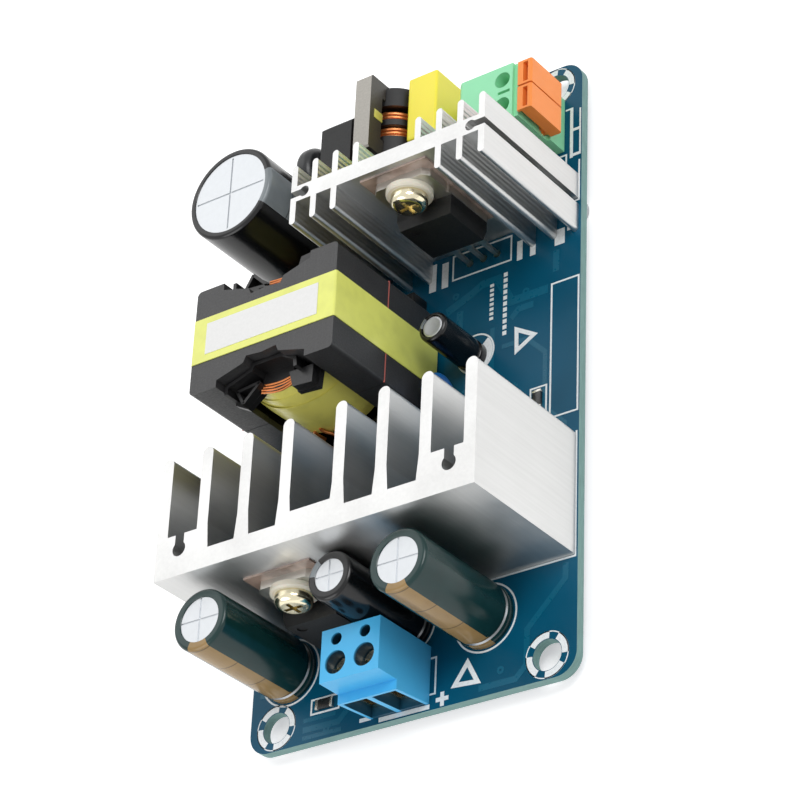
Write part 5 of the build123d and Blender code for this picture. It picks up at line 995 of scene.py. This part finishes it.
class DressCapacitors(bpy.types.Operator):
    """Cans, sleeves and stripes of the electrolytic capacitors"""
    bl_idname = "supply.dress_capacitors"
    bl_label = "Capacitors"

    def execute(self, context):
        look = context.scene.supply_capacitors
        colours = {
            "black": (look.black_sleeve, look.silver_stripe), "green": (look.green_sleeve, look.gold_stripe),
        }
        for name, (stripe, kind, lip) in CAPACITORS.items():
            hidden = name + "_sleeve" if name + "_sleeve" in NODES else name
            low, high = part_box(hidden)
            x, y = (low[0] + high[0]) / 2 / MM, (low[1] + high[1]) / 2 / MM
            radius, top = (high[0] - low[0]) / 2 / MM, high[2] / MM - LIP_RISE
            film = sleeve_finish(name + "_film", x, y, *colours[kind], stripe)
            can = can_finish(name + "_drawn_can", look, top)
            sleeve = turned(sleeve_profile(radius, top, lip), x, y, 96)
            piece(name + "_film", [sleeve], film, [hidden])
            if hidden == name:
                piece(name + "_drawn_can", [turned(can_profile(radius, top), x, y, 64)], can)
            else:
                dress(can, name + "_can")
        return {"FINISHED"}


# Mains side

CHOKE_CENTRE = (-0.85, 43.9, 9.8)
CHOKE_COIL_RADIUS = 4.3
CHOKE_COIL_FROM, CHOKE_COIL_TO = 0.62, 2.85
CHOKE_TURNS = 3
# Clear end of a coil in wire radii, and depth in wire radii and shift of the layer below the outer one
COIL_CLEAR, UNDER_DEPTH, UNDER_SHIFT = 0.4, 2.6, 0.2
# Tape on the choke's two sides: thickness, distance from its edges and from its top, and rounding
PATCH_WALL, PATCH_EDGE, PATCH_TOP, PATCH_ROUND = 0.16, 0.3, 1.2, 0.06
FUSE_CENTRE, FUSE_CAP_FROM = (19.0, 33.5, 3.5), 2.9
RESISTOR_CENTRE = (-25.9, 3.95, 3.6)
# Place along the resistor and colour of each ring, and half a ring's width
RESISTOR_RINGS = [(-3.0, "#7A3A1C"), (-1.6, "#141414"), (-0.2, "#C9761D"), (2.6, "#B08A3C")]
RESISTOR_RING_HALF = 0.35


def coil(start, end, radius, wire, turns):
    """A helix of wire round a line along Y: angle in step with the way along it."""
    t = np.linspace(0, 1, turns * 32)
    a = 2 * np.pi * turns * t
    path = np.column_stack([
        CHOKE_CENTRE[0] + radius * np.cos(a), start + (end - start) * t, CHOKE_CENTRE[2] + radius * np.sin(a),
    ])
    return tube(path, wire, (0, 1, 0), 8)


def choke_finish(look):
    """Ferrite frame of the choke: dark ferrite on its sides, and painted light that makes its upward faces
    pale, with fine scratches.
    """
    made, tree, where = blank("choke_ferrite")
    side = mottled(tree, where, 0.35, tone(look.choke_core, 0.7), tone(look.choke_core, 1.2), 5.0)[1]
    fine, top = mottled(tree, where, 0.35, tone(look.choke_lit_top, 0.75), tone(look.choke_lit_top, 1.1), 5.0)
    # Painted light: faces that look up take the pale colour, the others the dark ferrite
    shade = put(tree, "Mix", {0: facing(tree, "Z", 0.6, False), 6: side, 7: top}, 2, data_type="RGBA")
    return surface(made, fine, 0.02, {"Base Color": shade, "Roughness": 0.42})


def banded(name, centre, axis, base, rings=(), cap_from=None):
    """Lacquered part with rings, each a place along the axis and a colour, and metal past cap_from."""
    made, tree, where = blank(name)
    moved = put(tree, "Mapping", {
        "Vector": where, "Location": [-c for c in centre], "Scale": (1 / MM, 1 / MM, 1 / MM),
    })
    along = put(tree, "SeparateXYZ", {0: moved}, axis)
    cloud, shade = mottled(tree, where, 1.2, tone(base, 0.85), tone(base, 1.05))
    for at, code in rings:
        on = put(tree, "Math", {0: along, 1: at, 2: RESISTOR_RING_HALF}, operation="COMPARE")
        shade = put(tree, "Mix", {0: on, 6: shade, 7: linear(code)}, 2, data_type="RGBA")
    inputs = {"Base Color": shade, "Roughness": 0.33}
    if cap_from is not None:
        far = put(tree, "Math", {0: along}, operation="ABSOLUTE")
        far = put(tree, "Math", {0: far, 1: cap_from}, operation="GREATER_THAN")
        inputs["Base Color"] = put(tree, "Mix", {0: far, 6: shade, 7: linear("#D8D6D0")}, 2, data_type="RGBA")
        inputs["Metallic"] = far
    return surface(made, cloud, 0.02, inputs)


class DressMainsParts(bpy.types.Operator):
    """Choke, box capacitor, thermistor, disc capacitor, fuse and resistor"""
    bl_idname = "supply.dress_mains_parts"
    bl_label = "Mains side"

    def execute(self, context):
        look = context.scene.supply_mains
        transformer = context.scene.supply_transformer
        dress(choke_finish(look), "choke_core")
        low, high = [np.array(corner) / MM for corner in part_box("choke_tape")]
        # Painted shade: the winding tape's colour, darkened for the tape on the choke's sides
        tape = tape_finish("choke_tape_film_painted_shade", tone(transformer.winding, 0.7), 0.3)
        front, back, top = low[1] + PATCH_EDGE, high[1] - PATCH_EDGE, high[2] - PATCH_TOP
        piece("choke_tape_patch", [
            rounded_box((left, front, low[2]), (left + PATCH_WALL, back, top), PATCH_ROUND, 2)
            for left in (high[0] - PATCH_WALL, low[0])
        ], tape, ["choke_tape"])
        wire = look.wire_radius / MM
        skins = []
        for side in (-1, 1):
            near = CHOKE_CENTRE[1] + side * (CHOKE_COIL_FROM + wire * COIL_CLEAR)
            far = CHOKE_CENTRE[1] + side * (CHOKE_COIL_TO - wire * COIL_CLEAR)
            under = CHOKE_COIL_RADIUS - UNDER_DEPTH * wire
            skins.append(coil(near, far, CHOKE_COIL_RADIUS - wire, wire, CHOKE_TURNS))
            skins.append(coil(near + UNDER_SHIFT * side, far, under, wire, CHOKE_TURNS))
        piece("choke_coils", skins, bpy.data.materials["enamelled_copper"], ["choke_windings"])
        # Flame-proof moulded box of the film capacitor: lemon yellow, smooth, slightly waxy
        box = moulded(
            "moulded_box", look.box, roughness=0.33, grain=0.5, depth=0.005, cloud=7.0, spread=0.06, glow=0.05
        )
        dress(box, "x_capacitor")
        # Dipped epoxy discs: dark and blue, softly uneven
        disc = {"grain": 1.2, "depth": 0.05, "cloud": 3.0}
        dark = moulded("dipped_epoxy_dark", look.disc_dark, roughness=0.35, spread=0.2, **disc)
        dress(dark, "thermistor")
        blue = moulded("dipped_epoxy_blue", look.disc_blue, roughness=0.3, spread=0.15, coat=0.2, **disc)
        dress(blue, "y_capacitor")
        dress(banded("fuse_tube", FUSE_CENTRE, "X", linear("#B9B1A2"), cap_from=FUSE_CAP_FROM), "fuse")
        film = banded("film_resistor", RESISTOR_CENTRE, "Y", linear("#7FA7B8"), RESISTOR_RINGS)
        dress(film, "clamp_resistor")
        return {"FINISHED"}


# Terminals

# Round wells in the screw terminal's top: x, y and radius, then their rim's height and how fast the painted
# shade in them darkens
WELLS = [(-3.84, -47.9, 1.9), (1.24, -47.9, 1.9), (-3.84, -44.25, 1.02), (1.24, -44.25, 1.02)]
WELL_TOP, WELL_SHADE = 13.77, 0.45
# Painted shade in the hollow behind the wire openings: its top, its middle and half width on each axis, and
# half its middle wall
HOLLOW_SHADE_TOP = 8.7
HOLLOW_SHADE_SPANS = [("X", -1.3, 4.66), ("Y", -47.9, 4.1)]
WALL_HALF = 0.43
# Flush plugs that close the test pockets in the lever terminal's top: left, right, low, high
PLUG_BOX = (15.9, 18.9, 13.2, 14.0)
PLUG_HALF = 0.9
PLUG_ROWS = [38.6, 43.3]


def well_finish(look):
    """Moulded blue nylon, half gloss, with painted shade that turns it nearly black in the wells and behind
    the wire openings.
    """
    made, tree, where = blank("blue_nylon_with_painted_shade")
    shade = mottled(tree, where, 5, tone(look.blue, 0.92), tone(look.blue, 1.05))[1]
    fine = put(tree, "TexNoise", {"Vector": where, "Scale": 1 / (0.3 * MM), "Detail": 4.0}, "Fac")
    level = put(tree, "SeparateXYZ", {0: where}, "Z")
    # Painted shade: the wells turn nearly black below their rim, where shade falls
    painted_well_shade = put(tree, "MapRange", {
        "Value": level, "From Min": (WELL_TOP - WELL_SHADE) * MM, "From Max": WELL_TOP * MM, "To Min": 0.95,
        "To Max": 0.0,
    })
    for x, y, radius in WELLS:
        aside = put(tree, "Mapping", {"Vector": where, "Location": (-x * MM, -y * MM, 0), "Scale": (1, 1, 0)})
        aside = put(tree, "VectorMath", {0: aside}, "Value", operation="LENGTH")
        inside = put(tree, "Math", {0: aside, 1: radius * MM}, operation="LESS_THAN")
        amount = put(tree, "Math", {0: inside, 1: painted_well_shade}, operation="MULTIPLY")
        shade = put(tree, "Mix", {0: amount, 6: shade, 7: tone(look.blue, 0.03)}, 2, data_type="RGBA")
    # Painted shade in the hollow behind the wire openings, without the wall between them
    hollow = put(tree, "Math", {0: level, 1: HOLLOW_SHADE_TOP * MM}, operation="LESS_THAN")
    for span in HOLLOW_SHADE_SPANS:
        hollow = put(tree, "Math", {0: hollow, 1: within(tree, where, *span)}, operation="MULTIPLY")
    wall = within(tree, where, "X", HOLLOW_SHADE_SPANS[0][1], WALL_HALF)
    hollow = put(tree, "Math", {0: hollow, 1: wall}, operation="SUBTRACT", use_clamp=True)
    shade = put(tree, "Mix", {0: hollow, 6: shade, 7: tone(look.blue, 0.16)}, 2, data_type="RGBA")
    return surface(made, fine, 0.006, {"Base Color": shade, "Roughness": 0.36, "Specular IOR Level": 0.35})


class DressTerminals(bpy.types.Operator):
    """Lever terminal for the mains wires and screw terminal for the output"""
    bl_idname = "supply.dress_terminals"
    bl_label = "Terminals"

    def execute(self, context):
        look = context.scene.supply_terminals
        # Moulded nylon: even, half gloss colours
        nylon = {"depth": 0.006, "spread": 0.06, "gloss": 0.35}
        green = moulded("green_nylon", look.green, roughness=0.36, cloud=5.0, **nylon)
        dress(green, "input_terminal_housing")
        left, right, low, high = PLUG_BOX
        piece("input_terminal_plugs", [
            bar(left, right, y - PLUG_HALF, y + PLUG_HALF, low, high) for y in PLUG_ROWS
        ], green)
        orange = moulded("orange_nylon", look.orange, roughness=0.38, cloud=4.0, **nylon)
        dress(orange, "input_lever_front", "input_lever_back")
        dress(well_finish(look), "output_terminal_housing")
        return {"FINISHED"}


# Small surface parts

CHIP_HEIGHT = 0.6
CHIP_END = 0.45
# How far a chip's body stays inside its caps on each axis, and the rounding of body and caps
CHIP_INSET = np.array([0.05, 0.05, 0.03])
BODY_ROUND, CAP_ROUND = 0.05, 0.07
# Chips as x, y, size along X, size along Y, and side of the board
TOP_CHIPS = [(-15.0, -47.05, 3.1, 1.6, 1), (21.8, -7.0, 1.6, 3.1, 1)]
UNDER_RESISTORS = [(17.5 + (i - 2) * 3.0, 9.5, 1.6, 3.1, -1) for i in range(5)]
UNDER_CAPACITORS = [(17.5 + (i - 1.5) * 3.0, -3.5, 1.3, 2.0, -1) for i in range(4)]


def chip_skins(chips):
    """Bodies and end caps of chip parts: rounded boxes end to end, the caps a hair larger than the body."""
    bodies, caps = [], []
    for x, y, size_x, size_y, side in chips:
        bottom = BOARD_TOP if side > 0 else -CHIP_HEIGHT
        low = np.array([x - size_x / 2, y - size_y / 2, bottom])
        high = np.array([x + size_x / 2, y + size_y / 2, bottom + CHIP_HEIGHT])
        bodies.append(rounded_box(low + CHIP_INSET, high - CHIP_INSET, BODY_ROUND, 2))
        # What one cap leaves of the chip's longer side
        rest = np.array([size_x - CHIP_END, 0, 0] if size_x > size_y else [0, size_y - CHIP_END, 0])
        caps.append(rounded_box(low, high - rest, CAP_ROUND, 2))
        caps.append(rounded_box(low + rest, high, CAP_ROUND, 2))
    return bodies, caps


class DressSmallParts(bpy.types.Operator):
    """Chip parts and the indicator lamp"""
    bl_idname = "supply.dress_small_parts"
    bl_label = "Small parts"

    def execute(self, context):
        solder = bpy.data.materials["reflowed_solder"]
        # Thick film resistor: black glaze over white ceramic
        glaze = moulded("resistor_glaze", linear("#17191B"), roughness=0.3, cloud=2.0, spread=0.2, coat=0.3)
        # Layered ceramic capacitor: tan, sintered
        ceramic = moulded("sintered_ceramic", linear("#A77F57"), roughness=0.5, cloud=2.0, spread=0.15)
        for name, chips, finish, slot, node in (
            ("resistor", TOP_CHIPS + UNDER_RESISTORS, glaze, "chip_dark", "chip_resistors"),
            ("capacitor", UNDER_CAPACITORS, ceramic, "chip_tan", "chip_capacitors"),
        ):
            bodies, caps = chip_skins(chips)
            piece("chip_" + name + "_bodies", bodies, finish, [node])
            piece("chip_" + name + "_ends", caps, solder)
        # Clear resin over a pale base
        resin = moulded(
            "clear_resin", linear("#DDE6DC"), roughness=0.15, grain=0.4, depth=0.004, cloud=1.0, glow=0.2,
            coat=0.5,
        )
        dress(resin, "indicator_led")
        return {"FINISHED"}


# Stage

CAMERA_PLACE = (226.717, -220.177, 299.652)
CAMERA_AIM = (-3.851, 1.156, 1.6)
CAMERA_ROLL = -54.1226
CAMERA_LENS = 128.5207
CAMERA_SENSOR = 36.0
# Name, place in millimetres, width in millimetres, watts
LAMPS = [
    ("back", (-345, 330, 440), 480, 0.5),
    ("key", (370, 130, 500), 380, 1.9),
    ("front", (-220, -430, 330), 460, 1.2),
]
LAMP_AIM = (0, 0, 10)


def aimed(place, aim, roll=0.0):
    """The place and turn of something that looks from one point at another, rolled by some degrees."""
    start, end = Vector(place) * MM, Vector(aim) * MM
    turn = (end - start).to_track_quat("-Z", "Y").to_matrix().to_4x4()
    return Matrix.Translation(start) @ turn @ Matrix.Rotation(math.radians(roll), 4, "Z")


def shown_ray(tree):
    """One for what the camera sees straight, mirrored or through glass, nought for light on the object."""
    shown = 0.0
    for kind in ("Is Camera Ray", "Is Glossy Ray", "Is Transmission Ray"):
        ray = put(tree, "LightPath", out=kind)
        shown = put(tree, "Math", {0: ray, 1: shown}, operation="MAXIMUM")
    return shown


def floor_finish(look):
    """Pale studio paper: matt, with a faint tooth, and a little light of its own for camera and gloss."""
    made, tree, where = blank("studio_paper")
    shade = mottled(tree, where, 1.5, tone(look.floor, 0.985), tone(look.floor))[1]
    strength = put(tree, "Math", {0: shown_ray(tree), 1: look.glow}, operation="MULTIPLY")
    return surface(made, None, 0, {
        "Base Color": shade, "Roughness": 0.9, "Specular IOR Level": 0.1, "Emission Color": tone(look.floor),
        "Emission Strength": strength,
    })


class SetStage(bpy.types.Operator):
    """Floor, soft lamps, even world light and the camera"""
    bl_idname = "supply.set_stage"
    bl_label = "Stage"

    def execute(self, context):
        look = context.scene.supply_stage
        scene = context.scene
        reach = look.reach / MM
        low = CAD_BOX[0][2] / MM
        points, quads = skin(np.array([[(x, y, low) for x in (-reach, reach)] for y in (-reach, reach)]))
        mesh = bpy.data.meshes.new("studio_floor")
        mesh.from_pydata((points * MM).tolist(), [], quads.tolist())
        mesh.materials.append(floor_finish(look))
        floor = bpy.data.objects.new("studio_floor", mesh)
        scene.collection.objects.link(floor)
        for name, place, width, watts in LAMPS:
            lamp = bpy.data.lights.new(name, "AREA")
            lamp.shape = "DISK"
            lamp.size = width * MM
            lamp.energy = watts
            made = bpy.data.objects.new(name, lamp)
            scene.collection.objects.link(made)
            made.matrix_world = aimed(place, LAMP_AIM)
        world = bpy.data.worlds.new("even_light")
        world.use_nodes = True
        tree = world.node_tree
        tree.nodes.clear()
        strength = put(tree, "MapRange", {"Value": shown_ray(tree), "To Min": look.world, "To Max": 1.0})
        light = put(tree, "Background", {"Color": linear("#FFFFFF"), "Strength": strength})
        put(tree, "OutputWorld", {"Surface": light})
        scene.world = world
        scene.view_settings.view_transform = "Standard"
        data = bpy.data.cameras.new("camera")
        data.sensor_width = CAMERA_SENSOR
        data.lens = CAMERA_LENS
        data.clip_start = 0.01
        data.clip_end = 20
        camera = bpy.data.objects.new("camera", data)
        scene.collection.objects.link(camera)
        camera.matrix_world = aimed(CAMERA_PLACE, CAMERA_AIM, CAMERA_ROLL)
        scene.camera = camera
        return {"FINISHED"}


GROUPS = [
    ("supply_board", BoardLook), ("supply_metal", MetalLook), ("supply_transformer", TransformerLook),
    ("supply_capacitors", CapacitorLook), ("supply_mains", MainsLook), ("supply_terminals", TerminalLook),
    ("supply_stage", StageLook),
]
OPERATORS = [
    DressBoard, DressMetals, DressDevices, DressTransformer, DressCapacitors, DressMainsParts,
    DressTerminals, DressSmallParts, SetStage,
]


class SupplyPanel(bpy.types.Panel):
    """Steps that dress the power supply, in order, and the values that they read"""
    bl_idname = "VIEW3D_PT_supply"
    bl_label = "Power supply"
    bl_space_type = "VIEW_3D"
    bl_region_type = "UI"
    bl_category = "Power supply"

    def draw(self, context):
        for operator in OPERATORS:
            self.layout.operator(operator.bl_idname)
        for name, group in GROUPS:
            box = self.layout.box()
            box.label(text=name)
            for field in group.__annotations__:
                box.prop(getattr(context.scene, name), field)


def register():
    for name, group in GROUPS:
        bpy.utils.register_class(group)
        setattr(bpy.types.Scene, name, bpy.props.PointerProperty(type=group))
    for made in [*OPERATORS, SupplyPanel]:
        bpy.utils.register_class(made)


def unregister():
    for made in [SupplyPanel, *OPERATORS[::-1]]:
        bpy.utils.unregister_class(made)
    for name, group in GROUPS[::-1]:
        delattr(bpy.types.Scene, name)
        bpy.utils.unregister_class(group)


def main():
    register()
    for operator in OPERATORS:
        family, step = operator.bl_idname.split(".")
        getattr(getattr(bpy.ops, family), step)()
    bpy.context.view_layer.update()


if __name__ == "__main__":
    main()
